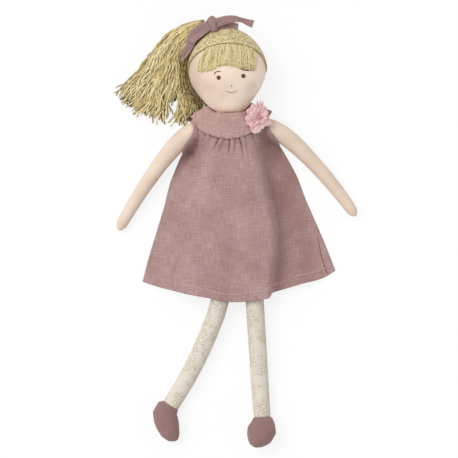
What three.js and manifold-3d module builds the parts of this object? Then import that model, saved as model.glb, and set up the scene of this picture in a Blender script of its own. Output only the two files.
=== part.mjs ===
// Rag doll with a side ponytail, lying on its back in a linen dress.
// Millimetres. +Y runs up the body to the head, +X to the doll's own left, +Z out of its front.
// The doll lies on z = 0, and the origin is under the middle of the dress.
import * as THREE from "three";
import { mergeVertices } from "three/addons/utils/BufferGeometryUtils.js";
import Module from "manifold-3d";

const wasm = await Module();
wasm.setup();

// Clearances and cloth
const gap = 0.3;
const looseGap = 0.9;
const linen = 1.2;
const felt = 0.8;
const overrun = 4;
const pressedFlat = 0.5;
const weld = 0.0001;

// Body: stuffed calico sewn from tapering tubes
const torso = { bottomY: -22.5, length: 108.5, halfWidth: 30, halfDepth: 16.5, z: 19 };
const neck = { length: 9.4, halfWidth: 13, halfDepth: 10.4, z: 20.5 };
const head = { length: 81, halfWidth: 38.1, halfDepth: 27.6, chinZ: 22.6 };
const arm = { length: 134, radius: 8.6, shoulderDrop: 8.5, rootZ: 17.5, handZ: 5.6 };
const shoulderSeam = { radius: 7, thickness: 1.9 };
const leg = { length: 184, radius: 9.2, spacing: 28.5, hipZ: 14, ankleZ: 8.6 };
const hipSeam = { halfWidth: 24, length: 5.4, thickness: 2 };
const shoe = { length: 34, radius: 14.2, thickness: 12.2 };

// Hair: a knitted cap, a fringe and a ponytail of yarn
const cap = { thickness: 1.7, seamSlope: 0.973, seamRise: 0.8 };
const fringe = { thickness: 1.5, halfWidth: 29, lowestY: 38.1, highestY: 43.1 };
const ponytail = {
  rootRadius: 6, rootZ: 27, rootSink: 1.7, leanAngle: 27.5, locks: 6, length: 108, spreadShare: 0.94,
};
const tie = { radius: 0.55 };

// Face threads
const face = { offset: 3.2, eyeSpacing: 24.2, eyeRadius: 1.9, eyeY: 31.5, thread: 0.45 };

// Bow of a linen tube ribbon
const bow = {
  ribbonWidth: 12, ribbonThickness: 2.2, knotWidth: 13, knotLength: 14, knotDepth: 12, knotSink: 2.7,
  leanAngle: 12.5,
};

// Dress: a round yoke and two panels that flare to the hem
const yoke = {
  outerRadius: 48.6, innerRadius: 21.8, sideOpening: 4.7, shoulderAngle: 32, centreRise: 30,
  seamZ: 16.3, chestZ: 38.2, neckZ: 38, napeRise: 6.8,
};
const dress = { hemRadius: 201, hemCentreY: 106, hemHalfWidth: 97.2, topHalfWidth: 37, hemRise: 3 };
const fold = { x: 33, width: 7, depthShare: 0.62, hemRise: 4.5 };

// Flower and button
const flower = {
  x: 26, rise: 2.5, leanAngle: 24, petals: 6, petalLength: 12.5, petalHalfWidth: 6.4, petalRise: 4,
  heartRadius: 2.2, heartFlatShare: 0.6, backingRadius: 5,
};
const button = { radius: 3.4, thickness: 1.3, loopThread: 0.4, fromNeckShare: 0.2 };

// Colours
const calico = 0xe8d2bf;
const rose = 0xb08f8c;
const shoeRose = 0xa07f7d;
const yarn = 0xc9b78e;
const stocking = 0xdcd3c7;
const petalPink = 0xdcaeab;
const threadBrown = 0x6b4a3c;

const doll = new THREE.Group();

function addPiece(name, geometry, colour, roughness = 0.9) {
  const material = new THREE.MeshStandardMaterial({ color: colour, roughness, metalness: 0 });
  const piece = new THREE.Mesh(geometry, material);
  piece.name = name;
  doll.add(piece);
  return piece;
}

// Smooth values between the rows of a table whose first column is the place
function smoothRow(rows, at) {
  const last = rows.length - 1;
  let k = 0;
  while (k < last - 1 && at > rows[k + 1][0]) {
    k += 1;
  }
  const before = rows[Math.max(k - 1, 0)];
  const from = rows[k];
  const to = rows[k + 1];
  const after = rows[Math.min(k + 2, last)];
  const span = to[0] - from[0];
  const t = Math.min(Math.max((at - from[0]) / span, 0), 1);
  return from.map((start, n) => {
    const end = to[n];
    const m0 = ((end - before[n]) / (to[0] - before[0])) * span;
    const m1 = ((after[n] - start) / (after[0] - from[0])) * span;
    const t2 = t * t;
    const t3 = t2 * t;
    return (2 * t3 - 3 * t2 + 1) * start + (t3 - 2 * t2 + t) * m0 + (3 * t2 - 2 * t3) * end + (t3 - t2) * m1;
  });
}

function easeStep(low, high, value) {
  return THREE.MathUtils.smoothstep(value, Math.min(low, high), Math.max(low, high));
}

// A closed body through rings of equal point count, ends closed to a middle point
function loft(rings) {
  const count = rings[0].length;
  const positions = rings.flat().flatMap((p) => [p.x, p.y, p.z]);
  const index = [];
  for (let r = 0; r < rings.length - 1; r += 1) {
    for (let k = 0; k < count; k += 1) {
      const a = r * count + k;
      const b = r * count + ((k + 1) % count);
      index.push(a, b, a + count, b, b + count, a + count);
    }
  }
  for (const [r, flip] of [[0, true], [rings.length - 1, false]]) {
    const middle = new THREE.Vector3();
    rings[r].forEach((p) => middle.addScaledVector(p, 1 / count));
    const centre = positions.length / 3;
    positions.push(middle.x, middle.y, middle.z);
    for (let k = 0; k < count; k += 1) {
      const a = r * count + k;
      const b = r * count + ((k + 1) % count);
      index.push(...(flip ? [b, a, centre] : [a, b, centre]));
    }
  }
  return outwards(buffer(positions, index));
}

function buffer(positions, index) {
  const geometry = new THREE.BufferGeometry();
  geometry.setAttribute("position", new THREE.Float32BufferAttribute(positions, 3));
  geometry.setIndex(index);
  return geometry;
}

// Turns a closed body's faces outwards if its volume comes out negative
function outwards(geometry) {
  const p = geometry.getAttribute("position");
  const index = geometry.getIndex().array;
  const [a, b, c] = [new THREE.Vector3(), new THREE.Vector3(), new THREE.Vector3()];
  let volume = 0;
  for (let k = 0; k < index.length; k += 3) {
    a.fromBufferAttribute(p, index[k]);
    b.fromBufferAttribute(p, index[k + 1]);
    c.fromBufferAttribute(p, index[k + 2]);
    volume += a.dot(b.cross(c));
  }
  if (volume < 0) {
    for (let k = 0; k < index.length; k += 3) {
      [index[k], index[k + 1]] = [index[k + 1], index[k]];
    }
  }
  return geometry;
}

function solidOf(geometry) {
  const bare = geometry.clone();
  for (const name of Object.keys(bare.attributes)) {
    if (name !== "position") {
      bare.deleteAttribute(name);
    }
  }
  const merged = mergeVertices(bare, weld);
  const vertProperties = new Float32Array(merged.getAttribute("position").array);
  const triVerts = new Uint32Array(merged.getIndex().array);
  return new wasm.Manifold(new wasm.Mesh({ numProp: 3, vertProperties, triVerts }));
}

function geometryOf(solid) {
  const mesh = solid.getMesh();
  return buffer(Array.from(mesh.vertProperties), Array.from(mesh.triVerts));
}

function boxBetween(low, high) {
  const size = high.clone().sub(low);
  const box = new THREE.BoxGeometry(size.x, size.y, size.z);
  const middle = low.clone().add(high).divideScalar(2);
  return box.translate(middle.x, middle.y, middle.z);
}

// Cuts away what a soft form would press into the surface it lies on
function laidFlat(geometry) {
  geometry.computeBoundingBox();
  const { min, max } = geometry.boundingBox;
  if (min.z >= 0) {
    return geometry;
  }
  const low = new THREE.Vector3(min.x - overrun, min.y - overrun, min.z - overrun);
  const high = new THREE.Vector3(max.x + overrun, max.y + overrun, 0);
  return geometryOf(solidOf(geometry).subtract(solidOf(boxBetween(low, high))));
}

// A section across a path: half as wide as width in the XY plane, half as thick as depth
function section(centre, heading, halfWidth, halfDepth, sides) {
  const across = new THREE.Vector3(-heading.y, heading.x, 0).normalize();
  const up = heading.clone().cross(across).negate().normalize();
  const ring = [];
  for (let k = 0; k < sides; k += 1) {
    const angle = (2 * Math.PI * k) / sides;
    const p = centre.clone();
    p.addScaledVector(across, halfWidth * Math.cos(angle));
    p.addScaledVector(up, halfDepth * Math.sin(angle));
    ring.push(p);
  }
  return ring;
}

// A stuffed limb along a curve; the rows give [share of length, share of width, share of depth]
function limb(curve, rowShares, halfWidth, halfDepth, steps, sides) {
  const rings = [];
  for (let k = 0; k <= steps; k += 1) {
    const at = (1 - Math.cos((Math.PI * k) / steps)) / 2;
    const [, width, depth] = smoothRow(rowShares, at);
    const heading = curve.getTangentAt(at);
    rings.push(section(curve.getPointAt(at), heading, halfWidth * width, halfDepth * depth, sides));
  }
  return loft(rings);
}

// Torso: a stuffed pillow, sewn flat where the legs hang and rounded at the shoulders
const torsoTopY = torso.bottomY + torso.length;
const torsoShares = [
  [0, 0.74, 0.08], [0.03, 0.82, 0.3], [0.09, 0.93, 0.66], [0.18, 1, 0.9], [0.32, 0.98, 1],
  [0.5, 0.93, 1], [0.7, 0.9, 0.96], [0.84, 0.92, 0.9], [0.92, 0.94, 0.82], [0.96, 0.86, 0.72],
  [0.985, 0.7, 0.6], [1, 0.5, 0.48],
];

function torsoAt(y) {
  const at = THREE.MathUtils.clamp((y - torso.bottomY) / torso.length, 0, 1);
  const [, width, depth] = smoothRow(torsoShares, at);
  const settle = easeStep(0, 0.25, at);
  const z = THREE.MathUtils.lerp(leg.hipZ, torso.z, settle);
  return { halfWidth: torso.halfWidth * width, halfDepth: torso.halfDepth * depth, z };
}

function ellipseRing(y, { halfWidth, halfDepth, z }, sides) {
  const ring = [];
  for (let k = 0; k < sides; k += 1) {
    const angle = (2 * Math.PI * k) / sides;
    ring.push(new THREE.Vector3(halfWidth * Math.cos(angle), y, z + halfDepth * Math.sin(angle)));
  }
  return ring;
}

const torsoRings = torsoShares.map(([at]) => {
  const y = torso.bottomY + at * torso.length;
  return ellipseRing(y, torsoAt(y), 24);
});
addPiece("torso", loft(torsoRings), calico);

// Neck: the soft stem under the collar
const neckBottomY = torsoTopY + gap;
const neckTopY = neckBottomY + neck.length;
const neckShares = [[0, 1, 0.86], [0.5, 0.97, 0.94], [1, 1, 0.92]];
const neckRings = neckShares.map(([at, width, depth]) => {
  const z = THREE.MathUtils.lerp(torso.z + (neck.z - torso.z) / 2, head.chinZ, at);
  const size = { halfWidth: neck.halfWidth * width, halfDepth: neck.halfDepth * depth, z };
  return ellipseRing(neckBottomY + at * neck.length, size, 20);
});
addPiece("neck", loft(neckRings), calico);

// Head: narrow at the neck, full at the cheeks, round at the crown
const headBottomY = neckTopY + gap;
const headMiddleZ = head.halfDepth + gap + cap.thickness - pressedFlat;
const headShares = [
  [0, 0.35], [0.025, 0.42], [0.05, 0.493], [0.1, 0.593], [0.142, 0.664], [0.185, 0.738], [0.235, 0.814],
  [0.284, 0.879], [0.333, 0.937], [0.383, 0.974], [0.432, 0.995], [0.494, 1], [0.55, 0.987],
  [0.63, 0.95], [0.704, 0.882], [0.778, 0.79], [0.852, 0.661], [0.914, 0.512], [0.963, 0.341],
  [0.992, 0.16], [1, 0.04],
];
const crownCentreShare = 0.54;
const crownCentreY = headBottomY + crownCentreShare * head.length;

function headAt(y, offset) {
  const at = THREE.MathUtils.clamp((y - headBottomY) / (head.length + offset), 0, 1);
  const [, width] = smoothRow(headShares, at);
  const z = THREE.MathUtils.lerp(head.chinZ, headMiddleZ, easeStep(0, 0.42, at));
  return { halfWidth: head.halfWidth * width + offset, halfDepth: head.halfDepth * width + offset, z };
}

function headForm(offset, sides) {
  const rings = headShares.map(([at]) => {
    const y = headBottomY + at * (head.length + offset);
    return ellipseRing(y, headAt(y, offset), sides);
  });
  return loft(rings);
}

function faceZ(x, y, offset) {
  const { halfWidth, halfDepth, z } = headAt(y, offset);
  return z + halfDepth * Math.sqrt(Math.max(1 - (x / halfWidth) ** 2, 0));
}

const headSides = 28;
addPiece("head", headForm(0, headSides), calico);

// The cap and the fringe share a seam: a tilted plane from over the forehead down to the nape
function aboveSeam(shift) {
  const size = head.length * 3;
  const tilt = Math.atan(cap.seamSlope);
  const block = new THREE.BoxGeometry(size, size, size);
  block.translate(0, 0, size / 2 + shift);
  block.rotateX(tilt);
  block.translate(0, crownCentreY + cap.seamRise, headMiddleZ);
  return solidOf(block);
}

const headCore = solidOf(headForm(gap, headSides));
const capShell = solidOf(headForm(gap + cap.thickness, headSides)).subtract(headCore);
addPiece("hair_cap", laidFlat(geometryOf(capShell.subtract(aboveSeam(0)))), yarn);

// Fringe: yarn that hangs from the seam over the forehead
const fringeEdgeShares = [
  [-0.98, 0.7], [-0.9, 0.42], [-0.6, 0.9], [0, 0.98], [0.45, 0.62], [0.92, 0], [1.04, 0.4],
];
const fringeOutline = new THREE.Shape();
const fringeEdge = fringeEdgeShares.map(([across, up]) => {
  const y = headBottomY + THREE.MathUtils.lerp(fringe.lowestY, fringe.highestY, up);
  return new THREE.Vector2(across * fringe.halfWidth, y);
});
fringeOutline.moveTo(-fringe.halfWidth, headBottomY + head.length);
fringeOutline.lineTo(fringeEdge[0].x, fringeEdge[0].y);
fringeOutline.splineThru(fringeEdge.slice(1));
fringeOutline.lineTo(fringe.halfWidth, headBottomY + head.length);
fringeOutline.closePath();
const fringeBlock = new THREE.ExtrudeGeometry(fringeOutline, {
  depth: head.halfDepth * 2, bevelEnabled: false, curveSegments: 3,
});
fringeBlock.translate(0, 0, headMiddleZ);
const fringeShell = solidOf(headForm(gap + fringe.thickness, headSides)).subtract(headCore);
const fringeSolid = fringeShell.intersect(aboveSeam(gap)).intersect(solidOf(fringeBlock));
addPiece("fringe", geometryOf(fringeSolid), yarn);

// Face: embroidered eyes, brows, nose and mouth, each a thread lying on the calico
function threadOnFace(name, points, radius) {
  const route = points.map(([x, y]) => {
    return new THREE.Vector3(x, headBottomY + y, faceZ(x, headBottomY + y, gap + radius));
  });
  const curve = new THREE.CatmullRomCurve3(route);
  const rings = [];
  const steps = 6;
  for (let k = 0; k <= steps; k += 1) {
    rings.push(section(curve.getPointAt(k / steps), curve.getTangentAt(k / steps), radius, radius, 6));
  }
  addPiece(name, loft(rings), threadBrown);
}

for (const [name, side] of [["right", -1], ["left", 1]]) {
  const x = face.offset + (side * face.eyeSpacing) / 2;
  const eye = new THREE.SphereGeometry(face.eyeRadius, 12, 8);
  eye.scale(1, 1, face.thread / face.eyeRadius);
  const y = headBottomY + face.eyeY;
  const fall = faceZ(x - face.eyeRadius, y, 0) - faceZ(x + face.eyeRadius, y, 0);
  const slope = Math.atan2(fall, 2 * face.eyeRadius);
  eye.rotateY(slope);
  eye.translate(x, y, faceZ(x, y, gap + looseGap / 2));
  addPiece(`eye_${name}`, eye, threadBrown);
}
const browShares = {
  right: [[-0.67, 0.17], [-0.55, 0.22], [-0.39, 0.244]],
  left: [[0.446, 0.29], [0.68, 0.29], [0.955, 0.223]],
};
for (const [name, points] of Object.entries(browShares)) {
  const route = points.map(([across, up]) => [
    face.offset + across * face.eyeSpacing, face.eyeY + up * face.eyeSpacing,
  ]);
  threadOnFace(`brow_${name}`, route, face.thread);
}
const noseShares = [[0.005, -0.33], [0.012, -0.37], [-0.01, -0.405]];
const mouthShares = [[-0.22, -0.574], [-0.12, -0.635], [-0.01, -0.657], [0.11, -0.645], [0.213, -0.6]];
for (const [name, points] of [["nose", noseShares], ["mouth", mouthShares]]) {
  const route = points.map(([across, up]) => [
    face.offset + across * face.eyeSpacing, face.eyeY + up * face.eyeSpacing,
  ]);
  threadOnFace(name, route, face.thread);
}

// A curve that starts at a point and bends steadily; the rows give [share of length, share of turn]
function bendingCurve(start, startAngle, turn, turnShares, length, heights) {
  const steps = 24;
  const points = [start.clone()];
  const at = start.clone();
  for (let k = 0; k < steps; k += 1) {
    const share = (k + 0.5) / steps;
    const angle = startAngle + turn * smoothRow(turnShares, share)[1];
    at.x += (Math.sin(angle) * length) / steps;
    at.y -= (Math.cos(angle) * length) / steps;
    at.z = heights((k + 1) / steps);
    points.push(at.clone());
  }
  return new THREE.CatmullRomCurve3(points);
}

// Arms: stuffed tubes that taper to a rounded hand, gathered into a seam at the shoulder
const armShares = [
  [0, 0.03, 0.03], [0.01, 0.53, 0.53], [0.03, 0.85, 0.85], [0.062, 1, 1], [0.14, 1.04, 1.02],
  [0.26, 1.03, 1], [0.36, 0.95, 0.94], [0.5, 0.87, 0.87], [0.7, 0.79, 0.8], [0.85, 0.71, 0.74],
  [0.95, 0.62, 0.66], [0.985, 0.4, 0.42], [1, 0.05, 0.05],
];
const armTurnShares = [[0, 1], [0.07, 1], [0.2, 0.62], [0.35, 0.4], [0.6, 0.24], [1, 0]];
const armBends = {
  right: { handAngle: 31, turn: 27, lengthShare: 0.99 },
  left: { handAngle: 30.7, turn: 31, lengthShare: 1 },
};
const shoulderX = torso.halfWidth * 0.943 + gap + shoulderSeam.thickness + gap + arm.radius;
const shoulderY = torsoTopY - arm.shoulderDrop;
const armholes = [];

function armHeight(share) {
  return THREE.MathUtils.lerp(arm.rootZ, arm.handZ, easeStep(0.05, 0.95, share));
}

for (const [name, side] of [["right", -1], ["left", 1]]) {
  const { radius: seamRadius, thickness } = shoulderSeam;
  const disc = new THREE.CylinderGeometry(seamRadius, seamRadius, thickness, 20);
  disc.rotateZ(Math.PI / 2);
  const discX = shoulderX - arm.radius - gap - shoulderSeam.thickness / 2;
  disc.translate(side * discX, shoulderY, arm.rootZ);
  addPiece(`shoulder_seam_${name}`, disc, calico);
  const handAngle = THREE.MathUtils.degToRad(armBends[name].handAngle);
  const turn = THREE.MathUtils.degToRad(armBends[name].turn);
  const length = arm.length * armBends[name].lengthShare;
  const startAngle = handAngle + turn;
  const back = new THREE.Vector3(-Math.sin(startAngle), Math.cos(startAngle), 0);
  const start = new THREE.Vector3(shoulderX, shoulderY, arm.rootZ).addScaledVector(back, arm.radius);
  const curve = bendingCurve(start, handAngle, turn, armTurnShares, length, armHeight);
  const geometry = limb(curve, armShares, arm.radius, arm.radius, 15, 12);
  const armhole = limb(curve, armShares, arm.radius + looseGap, arm.radius + looseGap, 15, 12);
  if (side < 0) {
    for (const form of [geometry, armhole]) {
      form.scale(-1, 1, 1);
      outwards(form);
    }
  }
  addPiece(`arm_${name}`, laidFlat(geometry), calico);
  armholes.push(armhole);
}

// Hip seam: the flat unstuffed strip that both legs hang from
const hipSeamTopY = torso.bottomY - gap;
const hipSeamBottomY = hipSeamTopY - hipSeam.length;
const hipStrip = boxBetween(
  new THREE.Vector3(-hipSeam.halfWidth, hipSeamBottomY, leg.hipZ - hipSeam.thickness / 2),
  new THREE.Vector3(hipSeam.halfWidth, hipSeamTopY, leg.hipZ + hipSeam.thickness / 2),
);
addPiece("hip_seam", hipStrip, calico);

// Legs: even tubes, the right one bent outwards, each closed by its shoe
const legShares = [
  [0, 0.15, 0.11], [0.012, 0.48, 0.14], [0.05, 0.84, 0.55], [0.09, 0.96, 0.9], [0.14, 1, 1],
  [0.5, 1, 1], [0.85, 0.97, 0.97], [1, 0.93, 0.93],
];
const legTurnShares = [
  [0, 0], [0.2, 0.115], [0.39, 0.52], [0.5, 0.67], [0.65, 0.75], [0.8, 0.86], [0.9, 0.94], [1, 0.96],
];
const legLengthShares = { right: 0.99, left: 1 };
const legBend = { right: THREE.MathUtils.degToRad(37), left: THREE.MathUtils.degToRad(0.5) };
const legTopY = hipSeamBottomY - gap;

function legHeightAt(share) {
  return THREE.MathUtils.lerp(leg.hipZ, leg.ankleZ - pressedFlat, easeStep(0, 0.8, share));
}

// Shoes: rows give [share of length, sideways share, rise share, width share, thickness share]
const shoeShares = {
  right: [
    [0, 0, 0, 0.6, 0.68], [0.13, -0.035, 0, 0.76, 0.76], [0.284, -0.02, 0.02, 0.83, 0.83],
    [0.41, 0.09, 0.03, 0.83, 0.85], [0.526, 0.229, 0.04, 0.79, 0.82], [0.665, 0.41, 0.05, 0.66, 0.72],
    [0.753, 0.585, 0.05, 0.42, 0.48], [0.79, 0.645, 0.05, 0.22, 0.26], [0.81, 0.66, 0.05, 0.05, 0.06],
  ],
  left: [
    [0, 0, 0, 0.6, 0.68], [0.1, 0, 0.02, 0.74, 0.8], [0.209, 0, 0.07, 0.84, 0.9],
    [0.353, -0.03, 0.14, 0.99, 1.02], [0.55, -0.13, 0.28, 0.88, 0.98], [0.69, -0.2, 0.39, 0.58, 0.7],
    [0.755, -0.21, 0.44, 0.32, 0.42], [0.79, -0.205, 0.46, 0.05, 0.06],
  ],
};

for (const [name, side] of [["right", -1], ["left", 1]]) {
  const start = new THREE.Vector3((side * leg.spacing) / 2, legTopY, leg.hipZ);
  const length = leg.length * legLengthShares[name];
  const curve = bendingCurve(start, 0, side * legBend[name], legTurnShares, length, legHeightAt);
  addPiece(`leg_${name}`, laidFlat(limb(curve, legShares, leg.radius, leg.radius, 15, 14)), stocking);
  const ankle = curve.getPointAt(1);
  const heading = curve.getTangentAt(1).setZ(0).normalize();
  const sideways = new THREE.Vector3(-heading.y, heading.x, 0);
  const rows = shoeShares[name];
  const centres = rows.map(([along, across, rise]) => {
    const p = ankle.clone().addScaledVector(heading, gap + along * shoe.length);
    p.addScaledVector(sideways, across * shoe.length);
    p.z += rise * shoe.length;
    return p;
  });
  const path = new THREE.CatmullRomCurve3(centres);
  const rings = rows.map(([, , , width, depth], k) => {
    const facing = k === 0 ? heading : path.getTangent(k / (rows.length - 1));
    return section(centres[k], facing, shoe.radius * width, shoe.thickness * depth, 16);
  });
  addPiece(`shoe_${name}`, laidFlat(loft(rings)), shoeRose);
}

// Ponytail: a fan of yarn locks from a tied root beside the crown, falling to the surface
const capReach = head.halfWidth + gap + cap.thickness;
const rootReach = capReach + gap + ponytail.rootRadius + gap + 2 * tie.radius - ponytail.rootSink;
const rootLean = THREE.MathUtils.degToRad(ponytail.leanAngle);
const rootX = -Math.sin(rootLean) * rootReach;
const rootY = crownCentreY + Math.cos(rootLean) * rootReach;
const outerEdgeShares = [
  [-0.045, 0.055], [-0.125, 0.038], [-0.25, -0.018], [-0.4, -0.138], [-0.5, -0.265], [-0.62, -0.375],
  [-0.725, -0.488], [-0.815, -0.585],
];
const innerEdgeShares = [[-0.078, -0.145], [-0.145, -0.29], [-0.142, -0.45], [-0.09, -0.63], [-0.02, -0.765]];
const endBulgeShares = [-0.02, -0.22];
const topShares = [[0, 0.055], [0.12, 0.055], [0.3, 0], [0.5, -0.065], [0.75, -0.13], [1, -0.185]];
const undersideShares = [[0, -0.055], [0.12, -0.11], [0.3, -0.22], [0.5, -0.2546], [1, -0.2546]];

function edgeCurve(sign, shares) {
  const points = [new THREE.Vector3(rootX, rootY + sign * ponytail.rootRadius, 0)];
  for (const [x, y] of shares) {
    points.push(new THREE.Vector3(rootX + x * ponytail.length, rootY + y * ponytail.length, 0));
  }
  return new THREE.CatmullRomCurve3(points);
}

const outerEdge = edgeCurve(1, outerEdgeShares);
const innerEdge = edgeCurve(-1, innerEdgeShares);

function lockRing(lock, at) {
  const lockWidth = 2 / ponytail.locks;
  const outer = outerEdge.getPointAt(at);
  const inner = innerEdge.getPointAt(at);
  const spread = outer.distanceTo(inner);
  const middle = -1 + (lock + 0.5) * lockWidth;
  const taper = 1 - 0.45 * easeStep(0.88, 1, at);
  const half = (lockWidth / 2) * taper - gap / spread;
  const rim = Math.sqrt(1 - (middle * ponytail.spreadShare) ** 2);
  const top = ponytail.rootZ + ponytail.length * smoothRow(topShares, at)[1];
  const underside = ponytail.rootZ + ponytail.length * smoothRow(undersideShares, at)[1];
  const headSide = 1 - 0.32 * easeStep(0.1, 0.4, at) * easeStep(0, 1, middle);
  const fullness = THREE.MathUtils.lerp(rim, 1 - 0.25 * middle * middle, easeStep(0, 0.4, at));
  const floorFullness = THREE.MathUtils.lerp(rim, 1, easeStep(0, 0.3, at));
  const low = THREE.MathUtils.lerp((top + underside) / 2, underside, floorFullness);
  const high = low + (top - low) * fullness * headSide;
  const ring = [];
  const sides = 10;
  for (let k = 0; k < sides; k += 1) {
    const angle = (2 * Math.PI * k) / sides;
    const w = middle + half * Math.sign(Math.cos(angle)) * Math.abs(Math.cos(angle)) ** 0.8;
    const p = outer.clone().lerp(inner, (1 + w) / 2);
    const bulge = (1 - w * w) * at * at * ponytail.length;
    p.x += endBulgeShares[0] * bulge;
    p.y += endBulgeShares[1] * bulge;
    p.z = (low + high) / 2 + ((high - low) / 2) * Math.sin(angle);
    ring.push(p);
  }
  return ring;
}

const lockRingShares = [0, 0.06, 0.14, 0.24, 0.36, 0.48, 0.6, 0.72, 0.84, 0.93, 1];
for (let lock = 0; lock < ponytail.locks; lock += 1) {
  const rings = lockRingShares.map((at) => lockRing(lock, at));
  addPiece(`ponytail_lock_${lock + 1}`, laidFlat(loft(rings)), yarn);
}

const tieRing = new THREE.TorusGeometry(ponytail.rootRadius + looseGap + tie.radius, tie.radius, 8, 28);
tieRing.rotateY(Math.PI / 2);
tieRing.translate(rootX + gap, rootY, ponytail.rootZ);
addPiece("ponytail_tie", tieRing, yarn);

// Bow: a knot on the ponytail's root, two loops and two tails of one linen tube
const bowLean = THREE.MathUtils.degToRad(bow.leanAngle);
const knotReach = capReach + gap + bow.knotLength / 2 - bow.knotSink;
const knot = new THREE.Vector3(
  -Math.sin(bowLean) * knotReach,
  crownCentreY + Math.cos(bowLean) * knotReach,
  ponytail.rootZ + ponytail.rootRadius + gap + 2 * tie.radius + gap + bow.knotDepth / 2,
);

function ribbon(name, pointShares, rowShares, widthShare) {
  const points = pointShares.map(([x, y, z]) => {
    return new THREE.Vector3(x, y, z).multiplyScalar(bow.ribbonWidth).add(knot);
  });
  const curve = new THREE.CatmullRomCurve3(points);
  const halfWidth = (bow.ribbonWidth / 2) * widthShare;
  addPiece(name, limb(curve, rowShares, halfWidth, bow.ribbonThickness / 2, 10, 10), rose);
}

const knotShares = [
  [0, 0.12, 0.12], [0.1, 0.62, 0.7], [0.3, 0.95, 0.95], [0.5, 1, 1], [0.8, 0.9, 0.9], [0.95, 0.6, 0.6],
  [1, 0.3, 0.3],
];
const knotHeading = new THREE.Vector3(Math.sin(bowLean), -Math.cos(bowLean), 0);
const knotEnd = knotHeading.multiplyScalar(bow.knotLength / 2);
const knotCurve = new THREE.LineCurve3(knot.clone().sub(knotEnd), knot.clone().add(knotEnd));
addPiece("bow_knot", limb(knotCurve, knotShares, bow.knotWidth / 2, bow.knotDepth / 2, 9, 12), rose);

const loopShares = [[0, 0.5, 1.2], [0.2, 0.85, 1.5], [0.6, 1, 1.6], [0.9, 0.9, 1.2], [1, 0.7, 0.6]];
const tailShares = [[0, 0.7, 0.8], [0.3, 0.95, 1], [0.7, 0.92, 1], [1, 1, 0.8]];
const loopLeftShares = [[0.55, -0.08, -0.26], [1.1, -0.02, -0.38], [1.95, -0.25, -0.46]];
const loopRightShares = [[-0.548, -0.12, -0.25], [-1.4, -0.55, -0.3], [-2.1, -1.25, -0.4]];
const tailLeftShares = [
  [0.575, 0.02, 0], [1.48, 0.1, -0.05], [2.3, 0, -0.15], [2.85, -0.3, -0.3], [3.2, -0.62, -0.4],
];
const tailRightShares = [[-2.32, -1.38, -0.38], [-2.56, -2.1, -0.5], [-2.76, -2.85, -0.7]];
ribbon("bow_loop_left", loopLeftShares, loopShares, 0.66);
ribbon("bow_loop_right", loopRightShares, loopShares, 1);
ribbon("bow_tail_left", tailLeftShares, tailShares, 0.95);
ribbon("bow_tail_right", tailRightShares, tailShares, 0.75);

// Heights of the stuffed body, which the cloth over it has to clear
const legCentres = ["right", "left"].flatMap((name) => {
  const side = name === "right" ? -1 : 1;
  const start = new THREE.Vector3((side * leg.spacing) / 2, legTopY, leg.hipZ);
  const length = leg.length * legLengthShares[name];
  const curve = bendingCurve(start, 0, side * legBend[name], legTurnShares, length, legHeightAt);
  return curve.getSpacedPoints(60);
});

function domeTop(x, y, centre, radius) {
  const off = Math.hypot(x - centre.x, y - centre.y) / radius;
  return off < 1 ? centre.z + radius * Math.sqrt(1 - off * off) : 0;
}

function bodyTop(x, y) {
  const { halfWidth, halfDepth, z } = torsoAt(y);
  const inTorso = y > torso.bottomY && y < torsoTopY && Math.abs(x) < halfWidth;
  let top = inTorso ? z + halfDepth * Math.sqrt(1 - (x / halfWidth) ** 2) : 0;
  if (y >= torsoTopY && y < neckTopY && Math.abs(x) < neck.halfWidth) {
    top = neck.z + neck.halfDepth * Math.sqrt(1 - (x / neck.halfWidth) ** 2);
  }
  for (const centre of legCentres) {
    top = Math.max(top, domeTop(x, y, centre, leg.radius));
  }
  const shoulder = new THREE.Vector3(Math.sign(x) * shoulderX, shoulderY, arm.rootZ);
  top = Math.max(top, domeTop(x, y, shoulder, arm.radius + looseGap));
  const seamX = shoulderX - arm.radius - gap - shoulderSeam.thickness / 2;
  const alongSeam = Math.abs(y - shoulderY) / shoulderSeam.radius;
  if (Math.abs(Math.abs(x) - seamX) < shoulderSeam.thickness && alongSeam < 1) {
    top = Math.max(top, arm.rootZ + shoulderSeam.radius * Math.sqrt(1 - alongSeam ** 2));
  }
  return top;
}

// A closed sheet over a grid: point(u, v) gives its middle place and its lower and upper heights
function sheetForm(point, across, along) {
  const positions = [];
  const index = [];
  const row = across + 1;
  const layer = row * (along + 1);
  for (const side of [0, 1]) {
    for (let j = 0; j <= along; j += 1) {
      for (let i = 0; i <= across; i += 1) {
        const { x, y, low, high } = point(-1 + (2 * i) / across, j / along);
        positions.push(x, y, side ? high : low);
      }
    }
  }
  const quad = (a, b, c, d) => index.push(a, b, c, a, c, d);
  for (let j = 0; j < along; j += 1) {
    for (let i = 0; i < across; i += 1) {
      const a = j * row + i;
      quad(a, a + row, a + row + 1, a + 1);
      quad(layer + a, layer + a + 1, layer + a + row + 1, layer + a + row);
    }
  }
  for (let i = 0; i < across; i += 1) {
    const end = along * row + i;
    quad(i, i + 1, layer + i + 1, layer + i);
    quad(end + 1, end, layer + end, layer + end + 1);
  }
  for (let j = 0; j < along; j += 1) {
    const a = j * row;
    const b = a + across;
    quad(a + row, a, layer + a, layer + a + row);
    quad(b, b + row, layer + b + row, layer + b);
  }
  return outwards(buffer(positions, index));
}

// Yoke: a round collar in a front and a back half, sewn together along the shoulders
const yokeCentreY = torsoTopY + yoke.centreRise;
const yokeHalfAngle = THREE.MathUtils.degToRad(90 - yoke.shoulderAngle);

function yokePlace(u, v) {
  const inner = yoke.innerRadius + yoke.sideOpening * easeStep(0, 0.8, Math.abs(u));
  const radius = THREE.MathUtils.lerp(inner, yoke.outerRadius, v);
  const angle = u * yokeHalfAngle;
  return { x: radius * Math.sin(angle), y: yokeCentreY - radius * Math.cos(angle) };
}

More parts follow.
